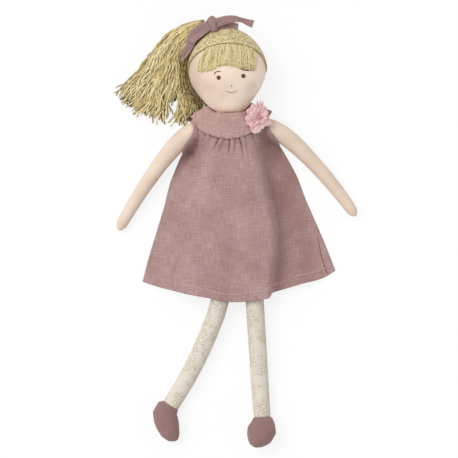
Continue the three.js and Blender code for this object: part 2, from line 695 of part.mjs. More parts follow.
function yokeTopZ(u, v) {
  const chest = THREE.MathUtils.lerp(yoke.neckZ, yoke.chestZ, easeStep(0, 0.8, v));
  return THREE.MathUtils.lerp(chest, yoke.seamZ, easeStep(0.35, 1, Math.abs(u)));
}

function yokeFront(u, v) {
  const { x, y } = yokePlace(u, v);
  const low = Math.max(yokeTopZ(u, v), bodyTop(x, y) + looseGap);
  return { x, y, low, high: low + linen };
}

function yokeBack(u, v) {
  const { x, y } = yokePlace(u, v);
  const shoulder = (yoke.seamZ - gap - linen) * easeStep(0.45, 1, Math.abs(u));
  const low = shoulder + yoke.napeRise * (1 - v) ** 2 * (1 - u * u);
  return { x, y, low, high: low + linen };
}

addPiece("yoke_front", sheetForm(yokeFront, 22, 5), rose);
addPiece("yoke_back", sheetForm(yokeBack, 18, 4), rose);

// Dress panels: rows give the side edge as [share of length, share of half width, share of drop]
const sideShares = [
  [0, 0.38, 0], [0.03, 0.377, 0.03], [0.075, 0.401, 0.075], [0.13, 0.453, 0.13], [0.19, 0.514, 0.19],
  [0.37, 0.653, 0.37], [0.52, 0.73, 0.52], [0.68, 0.823, 0.68], [0.83, 0.911, 0.83], [1, 1, 1],
];
const centreHeightShares = [
  [0, 1], [0.15, 1.02], [0.35, 0.97], [0.55, 0.86], [0.72, 0.72], [0.88, 0.6], [1, 0.56],
];
const foldDepthShares = [[0, 0], [0.08, 0.1], [0.3, 0.62], [0.6, 0.95], [1, 1]];
const hemRiseShares = [[-1, 0], [-0.68, 1], [-0.35, 1], [-0.12, 0], [0.5, 0], [0.8, -0.35], [1, 0]];
const panelTopRadius = yoke.outerRadius + gap;

function panelPlace(u, v) {
  const [, width] = smoothRow(sideShares, v);
  const x = u * dress.hemHalfWidth * width;
  const topX = u * dress.topHalfWidth;
  const hemX = u * dress.hemHalfWidth;
  const topY = yokeCentreY - Math.sqrt(panelTopRadius ** 2 - topX ** 2);
  const hemArcY = dress.hemCentreY - Math.sqrt(dress.hemRadius ** 2 - hemX ** 2);
  const hemY = hemArcY + dress.hemRise * smoothRow(hemRiseShares, u)[1];
  return { x, y: THREE.MathUtils.lerp(topY, hemY, v) };
}

function frontDrape(u, v, x) {
  const edge = linen + gap;
  const centre = yoke.chestZ * smoothRow(centreHeightShares, v)[1];
  const side = 1 - easeStep(THREE.MathUtils.lerp(0.42, 0.3, v), 1, Math.abs(u));
  const depth = fold.depthShare * smoothRow(foldDepthShares, v)[1];
  const tuck = 1 - depth * easeStep(fold.x, fold.x + fold.width, x);
  const wave = 0.04 * v * Math.sin(u * Math.PI * 4.5 + 1);
  return edge + (centre - edge) * Math.max(side * tuck + wave * (1 - u * u), 0);
}

function dressFront(u, v) {
  const { x, y } = panelPlace(u, v);
  const angleShare = Math.asin((u * dress.topHalfWidth) / panelTopRadius) / yokeHalfAngle;
  const atYoke = yokeTopZ(angleShare, 1);
  const drape = THREE.MathUtils.lerp(atYoke, frontDrape(u, v, x), easeStep(0, 0.16, v));
  const low = Math.max(drape, bodyTop(x, y) + looseGap);
  const folded = fold.hemRise * easeStep(fold.x, fold.x + fold.width, x) * easeStep(0.5, 1, v);
  return { x, y: y + folded * (1 - easeStep(0.7, 1, u)), low, high: low + linen };
}

function dressBack(u, v) {
  return { ...panelPlace(u, v), low: 0, high: linen };
}

// The front panel is cut away round the arms, and the largest part left is the panel
let frontPanel = solidOf(sheetForm(dressFront, 28, 17));
for (const armhole of armholes) {
  frontPanel = frontPanel.subtract(solidOf(armhole));
}
const frontParts = frontPanel.decompose().sort((a, b) => b.volume() - a.volume());
addPiece("dress_front", geometryOf(frontParts[0]), rose);
addPiece("dress_back", sheetForm(dressBack, 14, 9), rose);

// Flower: petals of gathered linen round a small ball, on a felt backing
const flowerY = torsoTopY + flower.rise;

function onYoke(x, y) {
  const angle = Math.atan2(x, yokeCentreY - y) / yokeHalfAngle;
  const u = Math.min(Math.max(angle, -1), 1);
  const inner = yoke.innerRadius + yoke.sideOpening * easeStep(0, 0.8, Math.abs(u));
  const v = (Math.hypot(x, y - yokeCentreY) - inner) / (yoke.outerRadius - inner);
  return { u, v: Math.min(Math.max(v, 0), 1) };
}

function clothTop(x, y) {
  const { u, v } = onYoke(x, y);
  return Math.max(yokeFront(u, v).high, bodyTop(x, y) + looseGap + linen);
}

const flowerPieces = [];
const backing = new THREE.CylinderGeometry(flower.backingRadius, flower.backingRadius, felt, 16);
backing.rotateX(Math.PI / 2);
flowerPieces.push(["flower_backing", backing]);
const petalShares = [[0, 0.22], [0.25, 0.6], [0.55, 0.95], [0.8, 0.85], [0.95, 0.5], [1, 0.12]];
for (let k = 0; k < flower.petals; k += 1) {
  const turn = (2 * Math.PI * (k + 0.3)) / flower.petals;
  const rings = petalShares.map(([at, width]) => {
    const out = flower.heartRadius + gap + at * flower.petalLength;
    const rise = felt + gap + flower.petalRise * at * at;
    const heading = new THREE.Vector3(1, 0, 0);
    const half = Math.min(flower.petalHalfWidth * width, out * Math.tan(Math.PI / flower.petals) - gap);
    return section(new THREE.Vector3(out, 0, rise), heading, half, felt / 2, 8);
  });
  flowerPieces.push([`flower_petal_${k + 1}`, loft(rings).rotateZ(turn)]);
}
const heart = new THREE.SphereGeometry(flower.heartRadius, 12, 8);
heart.scale(1, 1, flower.heartFlatShare);
heart.translate(0, 0, felt / 2 + gap + flower.heartFlatShare * flower.heartRadius);
flowerPieces.push(["flower_heart", heart]);

// The flower leans to its shoulder and is lifted until every petal clears the cloth under it
let flowerLift = 0;
for (const [, form] of flowerPieces) {
  form.rotateY(THREE.MathUtils.degToRad(flower.leanAngle));
  form.translate(flower.x, flowerY, 0);
  const place = form.getAttribute("position");
  for (let k = 0; k < place.count; k += 1) {
    flowerLift = Math.max(flowerLift, clothTop(place.getX(k), place.getY(k)) + gap - place.getZ(k));
  }
}
for (const [name, form] of flowerPieces) {
  addPiece(name, form.translate(0, 0, flowerLift + gap), petalPink);
}

// Back fastening: a button on the yoke's back under the neck, with its thread loop round it
const buttonSeat = yokeBack(0, button.fromNeckShare);
const buttonEdgeShare = button.fromNeckShare + button.radius / (yoke.outerRadius - yoke.innerRadius);
const buttonZ = yokeBack(0, buttonEdgeShare).low - gap - button.thickness / 2;
const buttonDisc = new THREE.CylinderGeometry(button.radius, button.radius, button.thickness, 20);
buttonDisc.rotateX(Math.PI / 2);
buttonDisc.translate(0, buttonSeat.y, buttonZ);
addPiece("back_button", buttonDisc, rose);
const loopRadius = button.radius + gap + button.loopThread;
const buttonLoop = new THREE.TorusGeometry(loopRadius, button.loopThread, 6, 24);
buttonLoop.translate(0, buttonSeat.y, buttonZ);
addPiece("button_loop", buttonLoop, rose);
export default doll;
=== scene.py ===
# %% [markdown]
# # A rag doll in a linen dress
# The doll lies on its back, head up the page. Its solid model is already packed: every body,
# joint and size comes from there, and this lesson gives each soft piece its cloth, yarn and
# thread. Blender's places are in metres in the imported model's frame: +Y towards the head, +X
# towards the doll's own left, +Z out of its front. Places and sizes in the tables below are
# in millimetres, and MM turns them into metres.

# %% Load the frame
import bpy
import math
import random
from itertools import product
from mathutils import Matrix, Vector, noise
from mathutils.bvhtree import BVHTree


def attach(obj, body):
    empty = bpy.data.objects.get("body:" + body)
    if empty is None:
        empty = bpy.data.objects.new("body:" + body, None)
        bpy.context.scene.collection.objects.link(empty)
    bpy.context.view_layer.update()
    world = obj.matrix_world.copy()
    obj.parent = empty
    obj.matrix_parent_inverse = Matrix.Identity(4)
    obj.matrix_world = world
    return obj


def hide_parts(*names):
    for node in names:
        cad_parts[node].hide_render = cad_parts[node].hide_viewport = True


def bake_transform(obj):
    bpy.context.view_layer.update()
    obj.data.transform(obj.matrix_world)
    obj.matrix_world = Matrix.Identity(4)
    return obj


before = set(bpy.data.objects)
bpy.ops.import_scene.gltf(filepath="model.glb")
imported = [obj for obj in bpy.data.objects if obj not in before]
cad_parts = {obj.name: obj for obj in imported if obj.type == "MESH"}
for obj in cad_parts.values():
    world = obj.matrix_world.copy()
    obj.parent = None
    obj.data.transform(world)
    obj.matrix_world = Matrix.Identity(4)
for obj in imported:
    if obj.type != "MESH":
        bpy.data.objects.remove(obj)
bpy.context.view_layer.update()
MM = 0.001
random.seed(7)
noise.seed_set(7)  # without it, Blender seeds its vector noise from the clock

# %% [markdown]
# The camera comes first, because every likeness is judged through it. The photograph looks
# straight down on the doll with a long lens and a slight turn, and one of its pixels is one
# millimetre. A lens of 157 mm from two metres away keeps the sides of the head from showing,
# as they don't in the photograph.

# %% Camera
PHOTO_TURN = math.radians(3.29)
PHOTO_CENTRE = Vector((-7.3, -21.8, 0.0)) * MM
PHOTO_WIDTH = 458
CAMERA_HEIGHT = 2020
SCALE_HEIGHT = 20  # the height above the floor at which one pixel is one millimetre
SENSOR = 36.0

camera_data = bpy.data.cameras.new("camera")
camera_data.sensor_width = SENSOR
camera_data.lens = SENSOR * (CAMERA_HEIGHT - SCALE_HEIGHT) / PHOTO_WIDTH
camera = bpy.data.objects.new("camera", camera_data)
camera.location = PHOTO_CENTRE + Vector((0, 0, CAMERA_HEIGHT * MM))
camera.rotation_euler = (0, 0, -PHOTO_TURN)
bpy.context.scene.collection.objects.link(camera)
bpy.context.scene.camera = camera
bpy.context.scene.view_settings.view_transform = "Standard"
print("lens", round(camera_data.lens, 1), "mm")

# %% [markdown]
# Colours are written as the hex values that a paint program shows, and the shaders want
# linear light, so one function turns the one into the other. Another adds any shader node
# with its settings and links.

# %% Colour and nodes
def colour(hex_value):
    channels = [int(hex_value[k:k + 2], 16) / 255 for k in (0, 2, 4)]
    linear = [c / 12.92 if c <= 0.04045 else ((c + 0.055) / 1.055) ** 2.4 for c in channels]
    return (*linear, 1.0)


def add(tree, kind, inputs=None, **settings):
    node = tree.nodes.new(kind)
    for name, value in settings.items():
        setattr(node, name, value)
    for name, value in (inputs or {}).items():
        socket = node.inputs[name]
        if isinstance(value, bpy.types.NodeSocket):
            tree.links.new(value, socket)
        else:
            socket.default_value = value
    return node


print("plain white is", colour("ffffff"))

# %% [markdown]
# Each material below is a few short steps: a place to measure from, some noise, a range cut
# out of it, two or three colours laid over that range, and a relief that catches the light.
# The first small functions give places and patterns. A mark is a number that the mesh itself
# carries, such as how dark a strand is.

# %% Places and patterns
def uv_place(tree):
    return add(tree, "ShaderNodeUVMap", uv_map="cloth").outputs["UV"]


def own_place(tree):
    return add(tree, "ShaderNodeTexCoord").outputs["Object"]


def mapped(tree, place, **settings):
    return add(tree, "ShaderNodeMapping", {"Vector": place, **settings}).outputs[0]


def marked(tree, name):
    return add(tree, "ShaderNodeAttribute", attribute_name=name).outputs["Fac"]


def sums(tree, operation, *values):
    return add(tree, "ShaderNodeMath", dict(enumerate(values)), operation=operation).outputs[0]


def grain(tree, place, scale, detail, distortion=0.0):
    return add(tree, "ShaderNodeTexNoise", {"Vector": place, "Scale": scale, "Detail": detail,
                                            "Distortion": distortion}).outputs["Fac"]


def stripes(tree, place, pitch, distortion, direction="X"):
    return add(tree, "ShaderNodeTexWave", {
        "Vector": place, "Scale": 0.5 / (pitch * MM), "Distortion": distortion, "Detail": 1.0},
        bands_direction=direction).outputs["Fac"]


def cut(tree, value, start, end, to=(0.0, 1.0), curve="LINEAR"):
    return add(tree, "ShaderNodeMapRange", {
        "Value": value, "From Min": start, "From Max": end, "To Min": to[0], "To Max": to[1]},
        interpolation_type=curve).outputs[0]


# %% [markdown]
# The next ones lay colours over a pattern, turn it into a relief, and open and close a
# material. Every material here is cloth: rough, hardly shiny, with a little sheen from the
# loose fibres on it.

# %% Colours and relief
def two_tones(tree, share, first, second):
    return add(tree, "ShaderNodeMix", {"Factor": share, "A": first, "B": second},
               data_type="RGBA").outputs["Result"]


def three_tones(tree, value, deep, middle, pale):
    ramp = add(tree, "ShaderNodeValToRGB", {"Fac": value})
    ramp.color_ramp.elements[0].color = colour(deep)
    ramp.color_ramp.elements[1].color = colour(pale)
    ramp.color_ramp.elements.new(0.5).color = colour(middle)
    return ramp.outputs["Color"]


def relief(tree, height, strength, distance, under=None):
    inputs = {"Height": height, "Strength": strength, "Distance": distance * MM}
    if under is not None:
        inputs["Normal"] = under
    return add(tree, "ShaderNodeBump", inputs).outputs[0]


def cloth_material(name, roughness, sheen):
    material = bpy.data.materials.new(name)
    material.use_nodes = True
    shader = material.node_tree.nodes["Principled BSDF"]
    for setting, value in (("Roughness", roughness), ("Specular IOR Level", 0.25),
                           ("Sheen Weight", sheen), ("Sheen Roughness", 0.5)):
        shader.inputs[setting].default_value = value
    return material, material.node_tree


def painted(material, tone, normal):
    tree = material.node_tree
    shader = tree.nodes["Principled BSDF"]
    tree.links.new(tone, shader.inputs["Base Color"])
    tree.links.new(normal, shader.inputs["Normal"])
    return material


# %% [markdown]
# Linen is woven from flax yarn that is thick in one place and thin in the next. Seen from a
# step away, those slubs show as short pale and dark dashes along both thread directions. Two
# noise patterns, each stretched along one thread direction, give the dashes, and a fine wave
# in each direction gives the crossing threads. Linen threads lie 0.6 mm apart, but one pixel
# of the picture is 1 mm, so the threads are drawn 1.7 mm apart to show at all. Three marks
# colour the dress: painted shade, deeper and redder, behind the deep fold, mixed with random
# blotches; patches where it has faded; and deep painted shade at the yoke's ends.

# %% Linen
LINEN_PITCH = 1.7
DASH_FINE, DASH_LONG = 1100, 90


def linen_material(name, base, dark, light, wrinkle=1.0):
    material, tree = cloth_material(name, 0.88, 0.12)
    place = uv_place(tree)
    dashes = [grain(tree, mapped(tree, place, Scale=scale), 1.0, 1.0)
              for scale in ((DASH_LONG, DASH_FINE, 1), (DASH_FINE, DASH_LONG, 1))]
    slubs = sums(tree, "ADD", *dashes)
    blotched = sums(tree, "ADD", slubs, grain(tree, place, 26.0, 2.0))
    tone = three_tones(tree, cut(tree, blotched, 1.12, 1.88), dark, base, light)
    # painted shade behind the deep fold mixed with blotches, faded patches, painted shade at the
    # yoke's ends
    for mark, hue in (("fold_shade_and_blotches", "8d5f5a"), ("faded", "c3a08e"), ("shaded", "4f3139")):
        tone = two_tones(tree, marked(tree, mark), tone, colour(hue))
    weave = sums(tree, "MULTIPLY", *[stripes(tree, place, LINEN_PITCH, 1.5, axis) for axis in "XY"])
    threads = relief(tree, sums(tree, "ADD", weave, slubs), 0.5, 0.25)
    crumple = relief(tree, grain(tree, place, 55.0, 3.0, 0.6), 0.35 * wrinkle, 1.6, threads)
    return painted(material, tone, crumple)


rose_linen = linen_material("washed rose linen", "ae8e8b", "9e7c78", "bfa19d")
# the yoke's copy of the same linen is lighter: painted light on the flat yoke
yoke_linen = linen_material("washed rose linen, painted lighter", "bb9993", "ab8882", "cbaca6")
bow_linen = linen_material("rose linen ribbon", "a58785", "8d6d6c", "b99c99", wrinkle=0.7)
print("linens", rose_linen.name, "/", yoke_linen.name, "/", bow_linen.name)

# %% [markdown]
# The skin is a close calico whose threads are far finer than a pixel, so only its soft
# unevenness shows. The face has spots of tint that fade out from their middles, measured on
# the object's own coordinates: two are painted shade on the side turned from the light, two
# are the blush rubbed into the cheeks, and two are painted light, on the doll's left cheek
# and on the chin.

# %% Calico skin
# place in mm, radius in mm, strength, colour
FACE_SPOTS = [
    # in order: painted shade twice, painted light on the left cheek, blush twice, painted light on
    # the chin
    ((-31, 136, 34), 27, 0.85, "d0b9a4"), ((-38, 117, 25), 22, 0.8, "d2b8a4"),
    ((22, 112, 38), 34, 0.85, "fff0de"), ((-19.5, 117.5, 47), 10, 0.22, "dcae9b"),
    ((23.5, 116, 46), 10, 0.26, "dcae9b"), ((3, 98, 33), 19, 0.75, "ffe8d2"),
]


def calico_material(name, base, shade, spots=()):
    material, tree = cloth_material(name, 0.85, 0.15)
    place = own_place(tree)
    uneven = cut(tree, grain(tree, place, 60.0, 3.0), 0.35, 0.7)
    tone = two_tones(tree, uneven, colour(base), colour(shade))
    for middle, radius, strength, hue in spots:
        away = add(tree, "ShaderNodeVectorMath", {0: place, 1: Vector(middle) * MM},
                   operation="DISTANCE").outputs["Value"]
        fade = cut(tree, away, radius * MM, radius * MM * 0.35, (0.0, strength), "SMOOTHSTEP")
        tone = two_tones(tree, fade, tone, colour(hue))
    threads = relief(tree, grain(tree, place, 1400.0, 1.0), 0.3, 0.2)
    dents = relief(tree, grain(tree, place, 70.0, 2.0), 0.25, 1.5, threads)
    return painted(material, tone, dents)


skin = calico_material("plain calico skin", "e9d5c4", "e1cab6")
face_skin = calico_material("calico skin with blush, painted shade and painted light", "f7e1cd", "f0d8c3", FACE_SPOTS)
print("spots on the face", len(FACE_SPOTS))

# %% [markdown]
# The yarn is twisted cotton about 2 mm thick. Its twist shows as slanting stripes that run
# round the strand, so the pattern reads the strand's own UV map: one direction round it, the
# other along it in metres. Each strand also carries a mark, its tint, because dyed yarn
# is never one colour; for strands that lie lower the tint also holds painted shade. All of
# them start darker at their root, as painted shade from the bow and the cap's edge.

# %% Yarn
TWIST_LENGTH = 3.2
ROOT_SHADE, ROOT_SHADE_LENGTH = -0.34, 58


def yarn_material(name, pale, middle, deep):
    material, tree = cloth_material(name, 0.8, 0.2)
    around, along, _ = add(tree, "ShaderNodeSeparateXYZ", {"Vector": uv_place(tree)}).outputs
    turns = sums(tree, "MULTIPLY", along, 1 / (TWIST_LENGTH * MM))
    ply = sums(tree, "PINGPONG", sums(tree, "MULTIPLY_ADD", around, 2.0, turns), 1.0)
    root = cut(tree, along, 0.0, ROOT_SHADE_LENGTH * MM, (ROOT_SHADE, 0.0))
    shade = sums(tree, "ADD", marked(tree, "tint"), root)
    tone = three_tones(tree, sums(tree, "MULTIPLY_ADD", ply, 0.3, shade), deep, middle, pale)
    return painted(material, tone, relief(tree, ply, 0.7, 0.4))


hair_yarn = yarn_material("twisted cotton yarn, straw blond", "efe2b4", "cdb77e", "775f34")
print("yarn", hair_yarn.name)

# %% [markdown]
# The cap is fine jersey knitted from the same yarn. Jersey shows columns of small V stitches,
# here 1.4 mm wide and drawn 2 mm wide so that they show. The stocking is a finer knit in
# cream cotton with gold thread caught in it, which shows as scattered dashes in patches.

# %% Knits
STITCH_HALF_WIDTH, STITCH_HEIGHT = 1.0, 0.95


def cap_knit_material(name):
    material, tree = cloth_material(name, 0.85, 0.2)
    place = own_place(tree)
    x, y, z = add(tree, "ShaderNodeSeparateXYZ", {"Vector": place}).outputs
    column = sums(tree, "PINGPONG", x, STITCH_HALF_WIDTH * MM)
    lift = sums(tree, "MULTIPLY_ADD", column, 1.2, y)
    row = sums(tree, "PINGPONG", sums(tree, "MULTIPLY_ADD", z, 0.8, lift), STITCH_HEIGHT * MM)
    stitch = sums(tree, "MULTIPLY", row, 1 / (STITCH_HEIGHT * MM))
    shade = sums(tree, "MULTIPLY_ADD", stitch, 0.34, grain(tree, place, 420.0, 2.0))
    tone = three_tones(tree, cut(tree, shade, 0.28, 1.0), "937d4c", "c8b888", "ece1b6")
    return painted(material, tone, relief(tree, shade, 0.6, 0.5))


def stocking_material(name):
    material, tree = cloth_material(name, 0.85, 0.15)
    place = own_place(tree)
    flecks = add(tree, "ShaderNodeTexVoronoi", {
        "Vector": mapped(tree, place, Scale=(1, 0.55, 1)), "Scale": 800.0,
        "Randomness": 0.8}).outputs["Distance"]
    patches = cut(tree, grain(tree, place, 85.0, 2.0), 0.42, 0.5, (0.0, 0.8))
    gold = sums(tree, "MULTIPLY", cut(tree, flecks, 0.5, 0.28), patches)
    ground = two_tones(tree, grain(tree, place, 30.0, 2.0), colour("e0d9cc"), colour("ddd3c4"))
    return painted(material, two_tones(tree, gold, ground, colour("b4a286")),
                   relief(tree, flecks, 0.4, 0.3))


cap_knit = cap_knit_material("fine jersey of straw yarn")
stocking_knit = stocking_material("cream stocking knit with gold thread")
print("knits", cap_knit.name, "/", stocking_knit.name)

# %% [markdown]
# The shoes are a darker, tighter cloth whose slanting ribs are 2.2 mm apart. The flower is
# soft felted cotton, darker towards each petal's base as painted shade, which its mark tells.
# The face is stranded embroidery thread, and the seams are sewing thread; the dark rose
# thread also draws painted shade in seams and folds, and the brown cap thread painted shade
# along the cap's edge.

# %% Shoe cloth, petals and thread
RIB_PITCH, RIB_TURN = 2.2, math.radians(-38)


def fine_cloth(name, base, dark, scale, sheen, bump, ribs=0.0, painted_base_shade=None):
    material, tree = cloth_material(name, 0.85, sheen)
    place = own_place(tree)
    rib = stripes(tree, mapped(tree, place, Rotation=(0, 0, RIB_TURN)), RIB_PITCH, 2.0)
    lift = sums(tree, "MULTIPLY_ADD", sums(tree, "SUBTRACT", rib, 0.5), ribs,
                grain(tree, place, scale, 2.0))
    tone = two_tones(tree, cut(tree, lift, 0.35, 0.68), colour(dark), colour(base))
    # painted shade towards a petal's base, by its mark
    if painted_base_shade:
        tone = two_tones(tree, marked(tree, "depth"), tone, colour(painted_base_shade))
    return painted(material, tone, relief(tree, lift, 0.6, bump))


shoe_cloth = fine_cloth("ribbed rose shoe cloth", "a48380", "876664", 900.0, 0.2, 0.6, ribs=0.55)
# the deeper pink is painted shade towards each petal's base
petal_cloth = fine_cloth("felted cotton petal", "f7dad6", "e8bcb9", 330.0, 0.3, 0.4,
                         painted_base_shade="c3868b")
heart_cloth = fine_cloth("deep pink cotton ball", "d8999c", "bf8085", 500.0, 0.2, 0.4)
brown_thread = fine_cloth("brown embroidery thread", "7d5546", "5a3629", 900.0, 0.2, 0.2)
pale_thread = fine_cloth("pale brown embroidery thread", "c09384", "a87a6b", 900.0, 0.15, 0.1)
seam_thread = fine_cloth("rose sewing thread", "dcc5be", "c3a49e", 900.0, 0.1, 0.1)
# dark rose thread, which also draws painted shade in the yoke seam, the side seam and the bow's fold
shadow_thread = fine_cloth("dark rose thread and painted seam shade", "82625f", "6f504e", 900.0, 0.0, 0.1)
# brown cap thread, which also draws painted shade in the cap's turned edge
seam_shadow = fine_cloth("brown cap thread with painted fold shade", "ae9662", "927c4e", 900.0, 0.0, 0.1)
print("materials", len(bpy.data.materials))

# %% [markdown]
# A few small tools follow. One picks an object alone, since every operator works on all that
# is selected, and two more use it: to apply a modifier, and to run steps on a whole mesh in
# edit mode. The last one makes an object of vertices and faces, with its UV map and marks.

# %% Modelling helpers
def pick(obj):
    bpy.ops.object.select_all(action="DESELECT")
    obj.select_set(True)
    bpy.context.view_layer.objects.active = obj


def apply(obj, kind, **settings):
    pick(obj)
    modifier = obj.modifiers.new(kind.lower(), kind)
    for name, value in settings.items():
        setattr(modifier, name, value)
    bpy.ops.object.modifier_apply(modifier=modifier.name)


def edit(obj, *steps):
    pick(obj)
    bpy.ops.object.mode_set(mode="EDIT")
    for step in steps:
        bpy.ops.mesh.select_all(action="SELECT")
        step()
    bpy.ops.object.mode_set(mode="OBJECT")


def new_object(name, mesh):
    obj = bpy.data.objects.new(name, mesh)
    bpy.context.scene.collection.objects.link(obj)
    return obj


def mesh_object(name, verts, faces, uvs=None, **marks):
    mesh = bpy.data.meshes.new(name)
    mesh.from_pydata(verts, [], faces)
    if uvs:
        layer = mesh.uv_layers.new(name="cloth")
        for loop in mesh.loops:
            layer.data[loop.index].uv = uvs[loop.vertex_index]
    for mark, values in marks.items():
        mesh.attributes.new(mark, "FLOAT", "POINT").data.foreach_set("value", values)
    return new_object(name, mesh)


# %% [markdown]
# A stuffed piece is made from a imported solid, used as a pattern: it is welded, rebuilt in
# small even faces and smoothed, which turns the flat-sided solid into a stuffed form of the
# same size. Every piece is finished alike: its material, the body that it rides on, and the
# imported solids that it replaces.

# %% Stuffed and finished pieces
WELD, REST_HEIGHT = 0.005, 0.05


def stuffed(node, name, voxel, smoothing, swell=0.0):
    obj = new_object(name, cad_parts[node].data.copy())
    edit(obj, lambda: bpy.ops.mesh.remove_doubles(threshold=WELD * MM))
    apply(obj, "REMESH", mode="VOXEL", voxel_size=voxel * MM, use_smooth_shade=True)
    apply(obj, "SMOOTH", factor=0.5, iterations=smoothing)
    if swell:
        apply(obj, "DISPLACE", strength=swell * MM, mid_level=0.0)
        for vertex in obj.data.vertices:
            vertex.co.z = max(vertex.co.z, REST_HEIGHT * MM)
    return obj


def finish(obj, body, material, slot, *nodes):
    obj.data.materials.clear()
    obj.data.materials.append(material)
    for face in obj.data.polygons:
        face.use_smooth = True
    if body:
        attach(obj, body)
    if nodes:
        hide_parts(*nodes)
    return obj


# %% [markdown]
# Cloth and threads are laid on what is already there by dropping a ray on it, from above or
# from below. The surface is a tree of the faces of one or more objects.

# %% Surfaces and rays
RAY_ABOVE, RAY_BELOW = 200, -100


def surface_of(*objects):
    verts, faces = [], []
    for mesh in (obj.data for obj in objects):
        base = len(verts)
        verts.extend(v.co.copy() for v in mesh.vertices)
        faces.extend(tuple(base + n for n in p.vertices) for p in mesh.polygons)
    return BVHTree.FromPolygons(verts, faces)


def drop_ray(surface, x, y, from_above=True):
    start = Vector((x * MM, y * MM, (RAY_ABOVE if from_above else RAY_BELOW) * MM))
    return surface.ray_cast(start, Vector((0, 0, -1 if from_above else 1)))[:2]


# %% [markdown]
# Threads and yarns are all the same thing: a thin tube along a route. This tool joins any
# number of them into one mesh, with a UV map for the twist and a tint for each strand. The
# route itself is drawn smoothly through a few places.

# %% Strands and routes
def tube_rings(route, radii, sides):
    rings = []
    side = None
    for k, point in enumerate(route):
        ahead = route[min(k + 1, len(route) - 1)] - route[max(k - 1, 0)]
        ahead.normalize()
        if side is None:
            side = ahead.orthogonal().normalized()
        side = (side - ahead * side.dot(ahead)).normalized()
        up = ahead.cross(side)
        angles = [2 * math.pi * n / sides for n in range(sides)]
        rings.append([point + (side * math.cos(a) + up * math.sin(a)) * radii[k] for a in angles])
    return rings


def tube_faces(base, count, sides):
    faces = []
    for k, n in product(range(count - 1), range(sides)):
        a, b = base + k * sides + n, base + k * sides + (n + 1) % sides
        faces.append((a, b, b + sides, a + sides))
    faces.append(tuple(base + n for n in reversed(range(sides))))
    faces.append(tuple(base + (count - 1) * sides + n for n in range(sides)))
    return faces


def strands(name, routes, radius, sides=6, tints=None, taper=None):
    verts, faces, uvs, tint_values = [], [], [], []
    for number, route in enumerate(routes):
        count = len(route)
        radii = [radius * MM * (taper(k / (count - 1)) if taper else 1) for k in range(count)]
        faces += tube_faces(len(verts), count, sides)
        for ring in tube_rings(route, radii, sides):
            verts.extend(ring)
        length = [0.0]
        for a, b in zip(route, route[1:]):
            length.append(length[-1] + (b - a).length)
        for k, n in product(range(count - 1), range(sides)):
            for turn, step in ((n, k), (n + 1, k), (n + 1, k + 1), (n, k + 1)):
                uvs.append((turn / sides, length[step]))
        uvs.extend([(0, 0)] * sides + [(0, length[-1])] * sides)
        tint_values.extend([tints[number] if tints else 0.5] * (count * sides))
    obj = mesh_object(name, verts, faces, tint=tint_values)
    layer = obj.data.uv_layers.new(name="cloth")
    layer.data.foreach_set("uv", [value for pair in uvs for value in pair])
    return obj


def smooth_route(points, count):
    result = []
    for k in range(count):
        at = k / (count - 1) * (len(points) - 1)
        n = min(int(at), len(points) - 2)
        t = at - n
        before, after = points[max(n - 1, 0)], points[min(n + 2, len(points) - 1)]
        a, b = points[n], points[n + 1]
        result.append(0.5 * (2 * a + (b - before) * t + (2 * before - 5 * a + 4 * b - after) * t * t
                             + (3 * a - before - 3 * b + after) * t ** 3))
    return result


def flat_route(places, count):
    return smooth_route([Vector(place) for place in places], count)


# %% [markdown]
# Shapes are drawn with five more functions: a straight way from one number to another, a soft
# step between two limits, a soft hump round nought, a table of pairs that is read as a smooth
# curve, and a grid of points that a function gives.

# %% Curves
def lerp(a, b, t):
    return a + (b - a) * t


def ease(low, high, value):
    t = min(max((value - low) / (high - low), 0), 1)
    return t * t * (3 - 2 * t)


def hump(value, width):
    return math.exp(-(value / width) ** 2)


def read(rows, at):
    k = 0
    while k < len(rows) - 2 and at > rows[k + 1][0]:
        k += 1
    (x0, y0), (x1, y1) = rows[k], rows[k + 1]
    t = min(max((at - x0) / (x1 - x0), 0), 1)
    before, after = rows[max(k - 1, 0)], rows[min(k + 2, len(rows) - 1)]
    m0 = (y1 - before[1]) / (x1 - before[0]) * (x1 - x0)
    m1 = (after[1] - y0) / (after[0] - x0) * (x1 - x0)
    return ((2 * t ** 3 - 3 * t * t + 1) * y0 + (t ** 3 - 2 * t * t + t) * m0
            + (3 * t * t - 2 * t ** 3) * y1 + (t ** 3 - t * t) * m1)


def grid_of(across, along, function):
    return [[function(-1 + 2 * i / across, j / along) for i in range(across + 1)]
            for j in range(along + 1)]


# %% [markdown]
# ## The stuffed body
# Head, torso, arms and legs are calico and knit tubes, turned and filled. Each is a pattern
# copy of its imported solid, so every size is right, and a few of them are swelled a little.
# The chin alone is drawn down up to 2.5 mm, because the picture shows it that much rounder.

# %% Head, neck and torso
CHIN_BASE = 96.6
CHIN_DROP, CHIN_MIDDLE, CHIN_HALF_WIDTH = 2.5, 3, 17


def chin_drop(x):
    return CHIN_DROP * max(0, 1 - ((x - CHIN_MIDDLE) / CHIN_HALF_WIDTH) ** 2)


head = stuffed("head", "head_calico", 1.3, 40, 0.5)
for vertex in head.data.vertices:
    x, y, _ = vertex.co / MM
    vertex.co.y -= chin_drop(x) * ease(CHIN_BASE + 15, CHIN_BASE + 1, y) * MM
finish(head, "head", face_skin, "calico", "head")
head_surface = surface_of(head)

neck = stuffed("neck", "neck_calico", 1.2, 8)
finish(neck, "neck", skin, "calico", "neck")

torso = stuffed("torso", "torso_calico", 1.8, 12)
finish(torso, "torso", skin, "calico", "torso")
print("head faces", len(head.data.polygons))

# %% [markdown]
# The limbs come in pairs. A shoe rides with its leg, and the seams at the shoulders and hips
# are short rings of calico that stay with the joint's own body.

